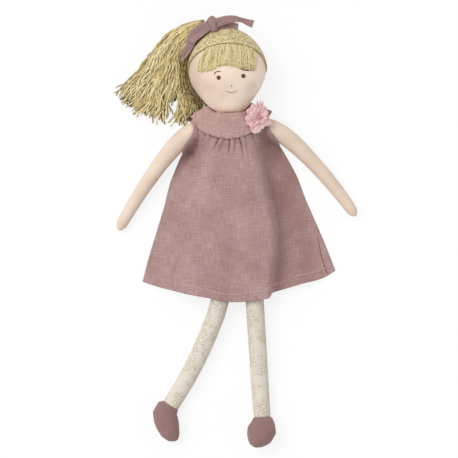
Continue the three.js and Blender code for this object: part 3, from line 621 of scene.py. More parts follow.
# %% Arms, legs and shoes
for side in ("left", "right"):
    arm = stuffed(f"arm_{side}", f"arm_{side}_calico", 1.0, 14, 0.35)
    finish(arm, f"arm_{side}", skin, "calico", f"arm_{side}")
    shoulder = stuffed(f"shoulder_seam_{side}", f"shoulder_seam_{side}_calico", 0.5, 6)
    finish(shoulder, f"shoulder_{side}", skin, "calico", f"shoulder_seam_{side}")
    leg = stuffed(f"leg_{side}", f"leg_{side}_knit", 1.0, 14, 0.15)
    finish(leg, f"leg_{side}", stocking_knit, "stocking", f"leg_{side}")
    shoe = stuffed(f"shoe_{side}", f"shoe_{side}_cloth", 0.9, 12, 0.7)
    finish(shoe, f"leg_{side}", shoe_cloth, "shoe_cloth", f"shoe_{side}")

hips = stuffed("hip_seam", "hip_seam_calico", 0.5, 6)
finish(hips, "hips", skin, "calico", "hip_seam")
print("shoe faces", len(shoe.data.polygons))

# %% [markdown]
# ## The dress
# The dress is cut as two flared panels gathered into a round yoke. On the doll it is one
# continuous cloth, so it is built as one sheet: a fine grid laid to the panel's outline and
# lifted over the body. The lift is found by dropping rays on the stuffed body from above and
# from below, one for each square millimetre, which gives two maps of heights that the cloth
# may not cross.

# %% Heights of the body under the cloth
BODY_PIECES = ["torso_calico", "neck_calico", "arm_left_calico", "arm_right_calico",
               "leg_left_knit", "leg_right_knit", "shoulder_seam_left_calico",
               "shoulder_seam_right_calico", "hip_seam_calico"]
MAP_LOW = (-106, -104)
MAP_SIZE = (213, 226)
NO_TOP, NO_UNDER = -5, 60
BODY_GAP = 1.1


def heights_of(surface, from_above, elsewhere):
    best = max if from_above else min
    spread = {}
    for i, j in product(range(MAP_SIZE[0]), range(MAP_SIZE[1])):
        hit, _ = drop_ray(surface, MAP_LOW[0] + i, MAP_LOW[1] + j, from_above)
        if hit:
            value = hit.z / MM
            for key in product((i - 1, i, i + 1), (j - 1, j, j + 1)):
                spread[key] = best(spread.get(key, value), value)
    return lambda x, y: spread.get((round(x - MAP_LOW[0]), round(y - MAP_LOW[1])), elsewhere)


body_surface = surface_of(*[bpy.data.objects[name] for name in BODY_PIECES])
body_top = heights_of(body_surface, True, NO_TOP)
body_under = heights_of(body_surface, False, NO_UNDER)
jaw_under = heights_of(head_surface, False, NO_UNDER)
print("the chest is", round(body_top(0, 40), 1), "mm high, the chin", round(jaw_under(3, 98), 1))

# %% [markdown]
# The outline of a panel is a table of widths, read smoothly from the yoke to the hem. Below,
# u runs across a panel from -1 to 1 and v down it from 0 to 1. The drape falls from the chest
# to the hem and curves down to the side seams, with one deep fold to the doll's left where
# the skirt turns under itself, a crease beside it and a few soft folds.

# %% Panel outline and drape
YOKE_CENTRE = 116.0
YOKE_OUTER, YOKE_INNER = 48.6, 20.9
YOKE_HALF_ANGLE = math.radians(58)
HEM_RADIUS, HEM_CENTRE, HEM_HALF_WIDTH = 201.0, 106.0, 97.2
TOP_HALF_WIDTH = 37.0
CHEST, YOKE_NECK, SHOULDER_SEAM = 38.2, 38.0, 16.3
EDGE_HEIGHT = 1.6
SIDE_ROWS = [(0, 0.38), (0.03, 0.377), (0.075, 0.401), (0.13, 0.453), (0.19, 0.514),
             (0.37, 0.653), (0.52, 0.73), (0.68, 0.823), (0.83, 0.911), (1, 1)]
CENTRE_ROWS = [(0, 1), (0.15, 1.02), (0.35, 0.97), (0.55, 0.86), (0.72, 0.74), (0.88, 0.64),
               (1, 0.6)]
FOLD_ROWS = [(0, 0), (0.08, 0.1), (0.3, 0.62), (0.6, 0.95), (1, 1)]
FOLD_EDGE = [(-96, 29.5), (-88, 30.5), (-60, 36), (-26, 39.5), (23, 32), (50, 27), (75, 22)]
HEM_RISE = [(-1, 0), (-0.68, 3), (-0.35, 3), (-0.12, 0), (0.5, 0), (0.8, -1), (1, 0)]
SOFT_FOLDS = [(60, 8, 2.6, 0.35), (-52, 10, 2.4, 0.3), (-31, 8, -1.92, 0.3)]  # x, width, height, v


def panel_place(u, v):
    x = u * HEM_HALF_WIDTH * read(SIDE_ROWS, v)
    top = YOKE_CENTRE - math.sqrt((YOKE_OUTER - 0.8) ** 2 - (u * TOP_HALF_WIDTH) ** 2)
    hem = HEM_CENTRE - math.sqrt(HEM_RADIUS ** 2 - (u * HEM_HALF_WIDTH) ** 2) + read(HEM_RISE, u)
    lifted = 4.5 * ease(28.5, 32.5, x) * (1 - ease(60, 92, x)) * ease(0.55, 1, v)
    return x, lerp(top, hem, v) + lifted


def past_fold(x, y):
    return x - read(FOLD_EDGE, min(max(y, FOLD_EDGE[0][0]), FOLD_EDGE[-1][0]))


def yoke_top(u, v):
    chest = lerp(YOKE_NECK, CHEST, ease(0, 0.8, v))
    return lerp(chest, SHOULDER_SEAM, ease(0.35, 1, abs(u)))


def front_drape(u, v, x, y):
    centre = CHEST * read(CENTRE_ROWS, v)
    side = 1 - ease(lerp(0.42, 0.3, v), 1, abs(u))
    beyond = past_fold(x, y)
    tuck = 1 - 0.66 * read(FOLD_ROWS, v) * ease(-1.5, 5.5, beyond)
    height = EDGE_HEIGHT + (centre - EDGE_HEIGHT) * max(side * tuck, 0)
    height += 3.6 * ease(0.12, 0.6, v) * hump(beyond + 4, 4.5)
    height -= 2.4 * ease(-30, -45, y) * hump(x - lerp(84, 90, (-45 - y) / 27), 1.6)
    height += sum(high * ease(start, 1, v) * hump(x - middle, width)
                  for middle, width, high, start in SOFT_FOLDS)
    soft = noise.noise(Vector((x / 24, y / 55, 3))) * 2.4 * ease(0.05, 0.4, v) * (1 - u ** 8)
    return height + soft


print("hem at the middle", round(panel_place(0, 1)[1], 1), "mm, width", 2 * HEM_HALF_WIDTH)

# %% [markdown]
# Where the panel is gathered into the yoke, each pleat is a short crease that starts at the
# seam and dies out below it, with the cloth on one side standing a little higher. The five
# creases are drawn as grooves at the places where the photograph shows them.

# %% Pleats
# where it starts, where it ends, depth
PLEATS = [((-11.9, 68.8), (-18.8, 56.0), 3.6), ((-1.2, 67.2), (-3.4, 49.0), 3.6),
          ((8.6, 67.4), (11.8, 46.0), 3.8), ((-25.0, 72.8), (-35.2, 56.5), 3.2),
          ((21.0, 71.0), (26.0, 55.0), 1.8)]
GROOVE, BANK, BANK_AWAY = 0.85, 2.3, 2.8


def pleat_depth(x, y):
    total = 0.0
    for (x0, y0), (x1, y1), depth in PLEATS:
        length = math.hypot(x1 - x0, y1 - y0)
        along = ((x - x0) * (x1 - x0) + (y - y0) * (y1 - y0)) / length ** 2
        if -0.3 <= along <= 1:
            t = max(along, 0)
            off = ((x - lerp(x0, x1, t)) * (y0 - y1) + (y - lerp(y0, y1, t)) * (x1 - x0)) / length
            fade = depth * (1 - t) ** 0.7
            total += fade * (1.1 * hump(off - BANK_AWAY, BANK) - hump(off, GROOVE))
    return total


print("pleats", len(PLEATS))

# %% [markdown]
# A sheet is a front grid and a back grid over the same places. They share their edges at
# both sides from the row sewn_from on and stay open above it, which makes the armholes. The
# back's part of the UV map is shifted, so that its weave doesn't mirror the front's.

# %% Two layers of cloth
def cloth_pair(place, front, back, sewn_from, shift):
    along, across = len(place) - 1, len(place[0]) - 1
    row = across + 1
    verts = [(x * MM, y * MM, z * MM) for line, heights in zip(place, front)
             for (x, y), z in zip(line, heights)]
    uvs = [(x, y) for x, y, _ in verts]
    under, faces = {}, []
    for j, i in product(range(along + 1), range(row)):
        under[j, i] = j * row + i
        if i not in (0, across) or j / along < sewn_from:
            x, y = place[j][i]
            under[j, i] = len(verts)
            verts.append((x * MM, y * MM, back(-1 + 2 * i / across, j / along, x, y) * MM))
            uvs.append((x * MM + shift, y * MM))
    for j, i in product(range(along), range(across)):
        a = j * row + i
        faces.append((a, a + row, a + row + 1, a + 1))
        faces.append((under[j, i], under[j, i + 1], under[j + 1, i + 1], under[j + 1, i]))
    return verts, faces, uvs


print("a sheet of two layers is ready")

# %% [markdown]
# The front of the dress is eased by averaging each height with its neighbours, never below
# the body, and only then do the pleats and the hem's double fold go in. The back lies almost
# flat under the doll and never above the body. Behind the deep fold, where the cloth turns
# from the light, it is painted deeper and redder as shade, mixed with random blotches;
# elsewhere it has faded in patches and is paler along the middle of the chest.

# %% Dress sheet
ACROSS, ALONG = ((210, 150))
UNDERARM = 0.185
HEM_FOLD, HEM_THICKNESS = 9.5, 0.35
CLOTH, LEAST_HEIGHT = 0.7, 1.4
EASINGS = 24


def front_heights(place):
    least = [[max(body_top(x, y) + BODY_GAP, LEAST_HEIGHT) for x, y in line] for line in place]
    height = [line[:] for line in least]
    for j, i in product(range(ALONG + 1), range(ACROSS + 1)):
        u, v = -1 + 2 * i / ACROSS, j / ALONG
        angle = math.asin(max(-1, min(1, u * TOP_HALF_WIDTH / YOKE_OUTER))) / YOKE_HALF_ANGLE
        drape = lerp(yoke_top(angle, 1) - 0.9, front_drape(u, v, *place[j][i]), ease(0, 0.16, v))
        height[j][i] = max(drape, least[j][i])
    for _ in range(EASINGS):
        old = [line[:] for line in height]
        for j, i in product(range(1, ALONG), range(1, ACROSS)):
            mean = (old[j - 1][i] + old[j + 1][i] + old[j][i - 1] + old[j][i + 1]) / 4
            height[j][i] = max(lerp(old[j][i], mean, 0.7), least[j][i])
    return height


def back_height(u, v, x, y):
    shoulder = (SHOULDER_SEAM - 1.5) * ease(0.45, 1, abs(u)) * (1 - ease(0, 0.13, v))
    wave = 0.5 * (1 + math.sin(x / 13 + 1)) * ease(0.1, 0.5, v) * (1 - abs(u) ** 6)
    return max(min(0.55 + wave + shoulder, body_under(x, y) - 1.0), 0.4 + 0.5 * ease(0.86, 0.92, v))


def linen_wear_and_shade(verts):
    fold_shade_and_blotches, faded = [], []
    for x, y in ((x / MM, y / MM) for x, y, _ in verts):
        patch = noise.noise(Vector((x / 22, y / 22, 7)))
        # painted shade: deeper and redder behind the deep fold, where the cloth turns from the light
        behind = ease(-1, 4, past_fold(x, y)) * ease(60, 20, y) * ease(88, 66, x)
        fold_shade_and_blotches.append(min(max(0.42 * behind * (0.75 + 0.8 * patch) + 0.1 * patch, 0), 1))
        faded.append(0.22 * max(patch, 0) + 0.08 * ease(30, 5, abs(x - 4)) * ease(-40, 10, y))
    return {"fold_shade_and_blotches": fold_shade_and_blotches, "faded": faded}


place = grid_of(ACROSS, ALONG, panel_place)
front = front_heights(place)
for j, i in product(range(ALONG + 1), range(ACROSS + 1)):
    front[j][i] += pleat_depth(*place[j][i])
    if place[j][i][1] - place[-1][i][1] < HEM_FOLD:
        front[j][i] += HEM_THICKNESS
verts, faces, uvs = cloth_pair(place, front, back_height, UNDERARM, 0.5)
dress = mesh_object("dress_linen", verts, faces, uvs, **linen_wear_and_shade(verts))
dress_surface = surface_of(dress)
apply(dress, "SOLIDIFY", thickness=CLOTH * MM, offset=0.0)
finish(dress, None, rose_linen, "linen", "dress_front", "dress_back")
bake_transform(dress)

# %% [markdown]
# The yoke is a ring of two layers of linen, cut in a front and a back half and sewn along the
# shoulders. Its lower edge is turned, so it stands a little proud of the gathered panel, and
# its upper edge lies round the neck and follows the chin. It keeps off the jaw above it and
# the body below it. A mark darkens both ends of its front, where the photograph has shade.

# %% Yoke
YOKE_ACROSS, YOKE_ALONG = 120, 30
YOKE_THICKNESS, YOKE_BEVEL = 1.1, 0.35
JAW_GAP = 1.2


def yoke_place(u, v):
    radius = lerp(YOKE_INNER, YOKE_OUTER, v)
    out, down = radius * math.sin(u * YOKE_HALF_ANGLE), radius * math.cos(u * YOKE_HALF_ANGLE)
    left, right = ease(0.75, 1, u) * v, ease(0.8, 1, -u) * v
    return (out + 1.6 * left - 2.2 * right,
            YOKE_CENTRE - down + 3.0 * left + 0.6 * right - chin_drop(out) * ease(0.5, 0, v))


def yoke_front(u, v):
    x, y = yoke_place(u, v)
    z = yoke_top(u, v) + 0.5 * ease(0, 0.08, v) * (1 - ease(0.93, 1, v))
    z += noise.noise(Vector((x / 15, y / 15, 1))) * 0.7 * (1 - u ** 6)
    return max(min(z, jaw_under(x, y) - JAW_GAP), body_top(x, y) + BODY_GAP)


def yoke_back(u, v, x, y):
    shoulder = (SHOULDER_SEAM - 0.8) * ease(0.45, 1, abs(u))
    return min(shoulder + 6.8 * (1 - v) ** 2 * (1 - u * u) + 0.9, body_under(x, y) - BODY_GAP)


def yoke_shade(u, v):
    right = ease(0.9, 0.93, -u) * ease(0.82, 0.87, v)
    return right + 0.5 * ease(0.86, 0.95, u) * ease(0.5, 0.7, v)


place, front, shade = [grid_of(YOKE_ACROSS, YOKE_ALONG, function)
                       for function in (yoke_place, yoke_front, yoke_shade)]
verts, faces, uvs = cloth_pair(place, front, yoke_back, 0, 0.3)
shaded = [value for line in shade for value in line]
shaded += [0.0] * (len(verts) - len(shaded))
yoke = mesh_object("yoke_linen", verts, faces, uvs, shaded=shaded)
apply(yoke, "SMOOTH", factor=0.5, iterations=3)
apply(yoke, "SOLIDIFY", thickness=YOKE_THICKNESS * MM, offset=0.0)
apply(yoke, "BEVEL", width=YOKE_BEVEL * MM, segments=2, limit_method="ANGLE",
      angle_limit=math.radians(50))
finish(yoke, "torso", yoke_linen, "linen", "yoke_front", "yoke_back")

# %% [markdown]
# Sewing thread holds it together: running stitches 2 mm long hold the hem's double fold, and
# a dark thread lies in the seam under the yoke, dark as painted shade under the yoke's edge.
# One more dark strand marks the side seam at the doll's left, painted shade in its crease. The
# stitches are laid on the cloth by dropping a ray at each end. Real thread is 0.2 mm thick;
# these are drawn 0.7 to 1 mm thick, to show at all.

# %% Stitching
STITCH_PITCH, STITCH_LENGTH = 2.9, 2.0
HEM_THREAD, SIDE_SHADE_LINE, YOKE_THREAD = 0.5, 0.42, 0.34  # radii
HEM_STEPS, SEAM_STEPS = 1400, 90
SIDE_SEAM = [(81.4, -30), (82.6, -42), (84.0, -53), (86.6, -64), (89.2, -73)]


def on_cloth(surface, x, y, lift, from_above=True):
    hit, _ = drop_ray(surface, x, y, from_above)
    return hit + Vector((0, 0, lift if from_above else -lift)) * MM if hit else None


def stitch_line(surface, points, lift, from_above=True):
    routes = []
    travelled = 0.0
    for (x0, y0), (x1, y1) in zip(points, points[1:]):
        gap = math.hypot(x1 - x0, y1 - y0)
        travelled += gap
        if travelled < STITCH_PITCH:
            continue
        travelled = 0.0
        dx, dy = (x1 - x0) * STITCH_LENGTH / gap, (y1 - y0) * STITCH_LENGTH / gap
        ends = [on_cloth(surface, x0 + dx * t, y0 + dy * t, lift * h, from_above)
                for t, h in ((0, 0.2), (0.25, 1), (0.75, 1), (1, 0.2))]
        if all(ends):
            routes.append(ends)
    return routes


hem_points = []
for k in range(HEM_STEPS):
    x, y = panel_place(-0.985 + 1.97 * k / (HEM_STEPS - 1), 1)
    hem_points.append((x * 0.965, y + HEM_FOLD - 1.6 + 0.5 * math.sin(x / 9)))
routes = stitch_line(dress_surface, hem_points, 0.7)
routes += stitch_line(dress_surface, hem_points, 0.3, from_above=False)
hem_stitches = strands("hem_stitches", routes, HEM_THREAD, sides=5)
finish(hem_stitches, None, seam_thread, "thread")
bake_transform(hem_stitches)

# painted shade: a dark strand in the crease of the side seam
side_route = [on_cloth(dress_surface, x, y, 0.3) for x, y in flat_route(SIDE_SEAM, 30)]
side_seam = strands("side_seam_painted_shade", [[p for p in side_route if p]], SIDE_SHADE_LINE,
                    taper=lambda t: ease(0, 0.3, t) * 0.8 + 0.2)
finish(side_seam, None, shadow_thread, "thread")
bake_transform(side_seam)

# a dark thread in the yoke seam, dark as painted shade under the yoke's edge
seam_places = [yoke_place(-0.97 + 1.94 * k / (SEAM_STEPS - 1), 1.012) for k in range(SEAM_STEPS)]
seam_route = [on_cloth(dress_surface, x, y, 0.42) for x, y in seam_places]
yoke_seam = strands("yoke_seam_thread", [[p for p in seam_route if p]], YOKE_THREAD)
finish(yoke_seam, "torso", shadow_thread, "thread")
print("stitches", len(routes))

# %% [markdown]
# The two sheets are the dress and the yoke.

# %% What the sheets are
print("sheets", dress.name, "and", yoke.name)

# %% [markdown]
# ## The hair
# A cap of jersey covers the back and top of the head. It is cut from a copy of the head's own
# surface with a tilted plane, so it fits like the real one, and gets its thickness outwards.
# The cut edge is turned under and held by a thread; a thin brown strand along it draws that
# thread together with painted shade in the turned edge.

# %% Cap
SEAM_POINT = Vector((0, 139.24, 29.1)) * MM
SEAM_SLOPE = 0.973
SEAM_NORMAL = Vector((0, -SEAM_SLOPE, 1)).normalized()
CAP_GAP, CAP_THICKNESS, CAP_REST = 0.35, 1.45, 0.1

cap = new_object("cap_jersey", head.data.copy())
edit(cap,
     lambda: bpy.ops.mesh.bisect(plane_co=SEAM_POINT, plane_no=SEAM_NORMAL, clear_outer=True),
     lambda: bpy.ops.transform.shrink_fatten(value=CAP_GAP * MM))
apply(cap, "SOLIDIFY", thickness=CAP_THICKNESS * MM, offset=1.0)
for vertex in cap.data.vertices:
    vertex.co.z = max(vertex.co.z, CAP_REST * MM)
finish(cap, "head", cap_knit, "yarn", "hair_cap")
print("cap faces", len(cap.data.polygons))

# %% [markdown]
# Everything else on the head is laid on its surface: a point straight below a place in the
# picture, or, for the cap's edge, a point in some direction from the middle of the cut.

# %% The cap's edge
WELT, WELT_LIFT, WELT_REST = 0.9, 1.0, 1.0
LINE, LINE_LIFT, LINE_AWAY = 0.34, 1.5, 0.8


def on_head(x, y, lift):
    hit, normal = drop_ray(head_surface, x, y)
    return hit + normal * lift * MM if hit else None


def seam_at(angle, lift):
    along = Vector((0, 1, SEAM_SLOPE)).normalized()
    heading = Vector((1, 0, 0)) * math.cos(angle) + along * math.sin(angle)
    hit, normal, _, _ = head_surface.ray_cast(SEAM_POINT, heading)
    out = normal if normal.dot(heading) > 0 else -normal
    return hit + out * lift * MM


welt_route = [seam_at(math.radians(a), WELT_LIFT) for a in range(-180, 181, 4)]
for point in welt_route:
    point.z = max(point.z, WELT_REST * MM)
welt = strands("cap_edge_welt", [welt_route], WELT, sides=10)
finish(welt, "head", cap_knit, "yarn")
# the brown strand stands for the edge's thread and for painted shade in the turned edge
line_route = [seam_at(math.radians(a), LINE_LIFT) + SEAM_NORMAL * LINE_AWAY * MM
              for a in range(-12, 193, 3)]
cap_thread = strands("cap_edge_thread", [line_route], LINE)
finish(cap_thread, "head", seam_shadow, "yarn")
print("the edge goes through", len(welt_route), "places")

# %% [markdown]
# The fringe is yarn caught in the cap's edge that lies on the forehead in four layers. The
# strands fan out a little from the middle of the forehead. Each one runs from the seam to a
# ragged lower edge, a little off the cloth, and its ends are as uneven as scissors leave them.

# %% Fringe
FRINGE_EDGE = [(-33, 141), (-28.6, 136.6), (-24.2, 135.2), (-18, 135.4), (-11, 137.6),
               (-3.5, 140.2), (3.7, 138.6), (10, 136.6), (14, 135.4), (20, 134.8), (27, 133.6),
               (29, 134.6)]
FRINGE_START, FRINGE_WIDTH, FRINGE_YARN = -28.8, 56.6, 0.46
FAN_X, FAN_RIGHT, FAN_LEFT = 7, 0.76, 0.84
# strands, lift, share of the width at the seam, how much shorter
FRINGE_LAYERS = [(92, 0.2, 0.98, 0), (88, 0.9, 0.96, 0), (80, 1.5, 0.95, 0.5), (62, 2.0, 0.93, 1)]


def seam_height(x):
    y = 130.0
    while y < 176:
        point = on_head(x, y, 0)
        if point is None or (point - SEAM_POINT).dot(SEAM_NORMAL) < 0:
            return y
        y += 0.3
    return y


def fringe_routes(count, lift, spread, shorter):
    routes = []
    for k in range(count):
        end_x = FRINGE_START + FRINGE_WIDTH * (k + random.uniform(0, 1)) / count
        fan = spread * (FAN_RIGHT if end_x < FAN_X else FAN_LEFT)
        start_x = FAN_X + (end_x - FAN_X) * fan + random.uniform(-1.2, 1.2)
        start_y = seam_height(start_x) - random.uniform(0.9, 1.6)
        end_y = read(FRINGE_EDGE, end_x) + random.uniform(-2.0, 1.8) + shorter * random.uniform(0, 5)
        lean, phase = random.gauss(0, 1.1), random.uniform(0, 6.3)
        crimps = random.uniform(34, 48)
        route = []
        for n in range(34):
            t = n / 33
            crimp = 0.26 * math.sin(crimps * t + phase) * ease(0, 0.15, t)
            x = lerp(start_x, end_x, t) + lean * math.sin(math.pi * t)
            x += crimp + 0.45 * math.sin(6 * t + 2 * phase)
            rise = lift * math.sin(math.pi * min(0.12 + t, 1)) + 0.25 * math.cos(crimps * t + phase)
            point = on_head(x, lerp(start_y, end_y, t), 0.45 + rise)
            if point is not None:
                route.append(point)
        if len(route) > 6:
            routes.append(route)
    return routes


routes, tints = [], []
for number, (count, lift, spread, shorter) in enumerate(FRINGE_LAYERS):
    layer = fringe_routes(count, lift, spread, shorter)
    routes += layer
    # painted light and shade: each higher layer is a little paler; the rest of the tint is random
    tints += [random.uniform(0.26, 1.0) + 0.13 * number for _ in layer]
fringe = strands("fringe_yarn", routes, FRINGE_YARN, sides=5, tints=tints,
                 taper=lambda t: 1 - 0.35 * ease(0.9, 1, t))
finish(fringe, "head", hair_yarn, "yarn", "fringe")
print("fringe strands", len(routes))

# %% [markdown]
# The ponytail is a bundle of loose yarn tied beside the crown. It fans out as it falls, so
# its outline is two edge curves, given in shares of the tail's length and cut into even
# steps. Every strand keeps its own share of the way between them, w, and of the height
# between the top and the surface the doll lies on, h, both from -1 to 1.

# %% Ponytail
ROOT = Vector((-21.3, 180.6, 0))
ROOT_RADIUS, ROOT_HEIGHT, TAIL_LENGTH = 6.0, 27.0, 108.0
OUTER_SHARES = [(-0.05, 0.065), (-0.13, 0.052), (-0.225, 0.02), (-0.365, -0.07),
                (-0.465, -0.18), (-0.612, -0.355), (-0.73, -0.475), (-0.815, -0.565)]
INNER_SHARES = [(-0.078, -0.145), (-0.145, -0.29), (-0.142, -0.45), (-0.09, -0.63),
                (-0.02, -0.765)]
TOP_ROWS = [(0, 0.055), (0.12, 0.055), (0.3, 0), (0.5, -0.065), (0.75, -0.13), (1, -0.185)]
UNDER_ROWS = [(0, -0.055), (0.12, -0.11), (0.3, -0.22), (0.5, -0.2546), (1, -0.2546)]
EDGE_STEPS, FINE_STEPS = 100, 200
LOWEST = 1.0


def even_edge(sign, shares):
    points = [ROOT + Vector((0, sign * ROOT_RADIUS, 0))]
    points += [ROOT + Vector((x, y, 0)) * TAIL_LENGTH for x, y in shares]
    fine = smooth_route(points, FINE_STEPS)
    far = [0.0]
    for a, b in zip(fine, fine[1:]):
        far.append(far[-1] + (b - a).length)
    result, n = [], 0
    for k in range(EDGE_STEPS + 1):
        while n < FINE_STEPS - 2 and far[n + 1] < far[-1] * k / EDGE_STEPS:
            n += 1
        result.append(fine[n + 1] if k else fine[0])
    return result


OUTER, INNER = even_edge(1, OUTER_SHARES), even_edge(-1, INNER_SHARES)


def tail_point(w, h, at):
    n = min(int(at * EDGE_STEPS), EDGE_STEPS - 1)
    t = at * EDGE_STEPS - n
    point = OUTER[n].lerp(OUTER[n + 1], t).lerp(INNER[n].lerp(INNER[n + 1], t), (1 + w) / 2)
    point += Vector((-0.02, -0.22, 0)) * ((1 - min(w * w, 1)) * at * at * TAIL_LENGTH)
    top = ROOT_HEIGHT + TAIL_LENGTH * read(TOP_ROWS, at)
    under = ROOT_HEIGHT + TAIL_LENGTH * read(UNDER_ROWS, at)
    rim = math.sqrt(max(1 - (w * 0.94) ** 2, 0.02))
    head_side = 1 - 0.32 * ease(0.1, 0.4, at) * ease(0, 1, w)
    low = lerp((top + under) / 2, under, lerp(rim, 1, ease(0, 0.3, at)))
    high = low + (top - low) * lerp(rim, 1 - 0.25 * w * w, ease(0, 0.4, at)) * head_side
    point.z = max(lerp(low + 1, high - 1, (1 + h) / 2), 1.1)
    return point


print("ponytail edges of", len(OUTER), "and", len(INNER), "steps")

# %% [markdown]
# The strands differ in how far they reach: the main bundle ends short beside the head, and
# the ones past TUFT make a tuft of their own with a notch between. Noise that neighbours
# share makes the locks, and a drift of its own makes each strand cross others. The tint is
# deeper for the strands that lie lower, as painted shade under the upper ones.

# %% Ponytail strands
MAIN_ENDS = [(-1, 1.0), (-0.6, 1.0), (-0.32, 0.94), (-0.06, 0.98), (0.04, 0.95), (0.1, 0.83),
             (0.3, 0.77), (0.44, 0.7)]
TUFT_ENDS = [(0.45, 0.97), (0.7, 1.0), (0.92, 0.95), (1.2, 0.92)]
TUFT = 0.45
TAIL_YARN = 0.72
# h, strands, lowest w, highest w
TAIL_LAYERS = [(1, 76, -0.99, 0.97), (0.8, 74, -0.99, 0.97), (0.45, 66, -0.97, 1.0),
               (0, 60, -0.97, 1.12), (-0.5, 64, -0.97, 1.22), (-1, 82, -0.97, 1.28)]


def tail_routes(layers):
    routes, tints = [], []
    for h, count, low_w, high_w in layers:
        for k in range(count):
            w0 = lerp(low_w, high_w, (k + random.uniform(0.1, 0.9)) / count)
            drift = random.gauss(0, 0.14)
            in_tuft = w0 >= TUFT
            drift = max(drift, TUFT - w0) if in_tuft else min(drift, TUFT - 0.02 - w0)
            ends = TUFT_ENDS if in_tuft else MAIN_ENDS
            apart = -0.2 * (1 - ease(0.5, 0.95, w0 + drift)) if in_tuft else 0.0
            end_h = max(-1, min(1, h + random.gauss(0, 0.2)))
            reach = min(read(ends, w0 + drift) * random.uniform(0.93, 1.02), 1.0)
            phase, sway = random.uniform(0, 6.3), random.uniform(1.0, 3.0)
            quick = random.uniform(12, 26)
            curl = random.choice((-1, 1)) * random.uniform(0, 5.5)
            route = []
            for n in range(32):
                at = reach * n / 31
                lock = noise.noise_vector(Vector((w0 * 2.6, at * 3.4, h * 0.9)))
                w = w0 + drift * ease(0, 1, at) + lock.x * 0.2 * ease(0.1, 0.6, at) * (1 - at * at)
                w = max(-1.02, min(1.02 if w0 <= 1 else high_w, w + apart * ease(0.84, 1.0, at)))
                now_h = max(-1, min(1, lerp(h, end_h, at) + lock.z * 0.35 * at))
                point = tail_point(w, now_h, at)
                wave = Vector((math.sin(phase + at * quick), math.cos(phase * 2 + at * quick * 0.8),
                               0.6 * math.sin(phase * 3 + at * quick)))
                point += wave * (sway * ease(0.06, 0.45, at))
                hook = ease(0.86, 1, at / reach)
                point += Vector((curl * hook, 0.5 * abs(curl) * hook * hook, 0))
                point.z = max(point.z, LOWEST)
                route.append(point * MM)
            first = route[0]
            under_bow = Vector((ROOT.x + random.uniform(5, 9), lerp(ROOT.y, first.y / MM, 0.7) - 0.8,
                                lerp(ROOT_HEIGHT, first.z / MM, 0.7))) * MM
            routes.append([under_bow] + route)
            # painted shade: the lower a strand lies, the deeper its tint; the rest varies by lock and
            # at random
            depth = 0.18 * (h + 1)
            shade = 0.4 * (0.5 + noise.noise(Vector((w0 * 6, h * 2, 0))))
            tints.append(-0.02 - 0.16 * (h < 0) + depth + shade + random.uniform(-0.26, 0.32))
    return routes, tints


routes, tints = tail_routes(TAIL_LAYERS)
tail = strands("ponytail_yarn", routes, TAIL_YARN, tints=tints,
               taper=lambda t: lerp(0.55, 1, ease(0, 0.22, t)))
finish(tail, "ponytail", hair_yarn, "yarn", *[f"ponytail_lock_{k}" for k in range(1, 7)])
print("ponytail strands", len(routes), "triangles", len(tail.data.polygons) * 2)

# %% [markdown]
# Shorter strands come from under the bow and lie along the side of the cap and the cheek
# down to the collar, where the picture has a dark band. They sit in the shade, so their
# tint is low.

# %% Strands beside the cap
SIDE_PLACES = [(-15, 174.2, 31), (-26, 165.5, 31), (-34, 153.5, 29), (-38.2, 140, 26),
               (-38.4, 124, 20), (-31, 110.5, 13), (-24, 100.5, 8)]
SIDE_COUNT, SIDE_YARN, SIDE_REST = 46, 0.7, 1.5
routes = []
for k in range(SIDE_COUNT):
    off, drop = random.uniform(0.4, 6.5), random.uniform(-5, 3)
    far = random.uniform(0.72, 1)
    places = [Vector((x - off * (0.35 + 0.65 * ease(0, 3, n)), y + 0.45 * off * ease(3, 0, n),
                      max(z + drop, SIDE_REST))) for n, (x, y, z) in enumerate(SIDE_PLACES, 1)]
    places = smooth_route(places, 40)[:int(40 * far)]
    routes.append([(p + Vector((0.5 * math.sin(n * 0.8 + k), 0.4 * math.cos(n * 0.7 + k), 0))) * MM
                   for n, p in enumerate(places)])
side_hair = strands("ponytail_side_yarn", routes, SIDE_YARN,
                    tints=[random.uniform(-0.1, 0.2) for _ in routes])
finish(side_hair, "ponytail", hair_yarn, "yarn")
print("side strands", len(routes))

# %% [markdown]
# A few turns of the same yarn tie the ponytail's root.

# %% Tie
TIE_RADIUS, TIE_PITCH, TIE_YARN, TIE_STEPS = 6.9, 0.95, 0.55, 24
turns = []
for n in range(3):
    ring = []
    for k in range(TIE_STEPS + 1):
        angle = 2 * math.pi * k / TIE_STEPS
        radius = TIE_RADIUS + 0.3 * (n == 1)
        ring.append(Vector((ROOT.x - 0.9 + TIE_PITCH * (n - 1) + 0.9 * k / TIE_STEPS,
                            ROOT.y + radius * math.cos(angle),
                            ROOT_HEIGHT + radius * math.sin(angle))) * MM)
    turns.append(ring)
tie = strands("ponytail_tie_yarn", turns, TIE_YARN, sides=8, tints=[0.3, 0.45, 0.35])
finish(tie, "ponytail", hair_yarn, "yarn", "ponytail_tie")
print("turns of the tie", len(turns))

# %% [markdown]
# ## The bow
# The bow is a tube of linen, pressed flat. Each stretch is swept along its route with a
# rounded flat section that cups a little and has a soft crease down its middle. Routes and
# widths are in ribbon widths from the knot.

# %% Bow
KNOT = Vector((-11.9, 181.7, 40.7))
RIBBON = 12.0
RIBBON_STEPS, RIBBON_SIDES = 30, 24


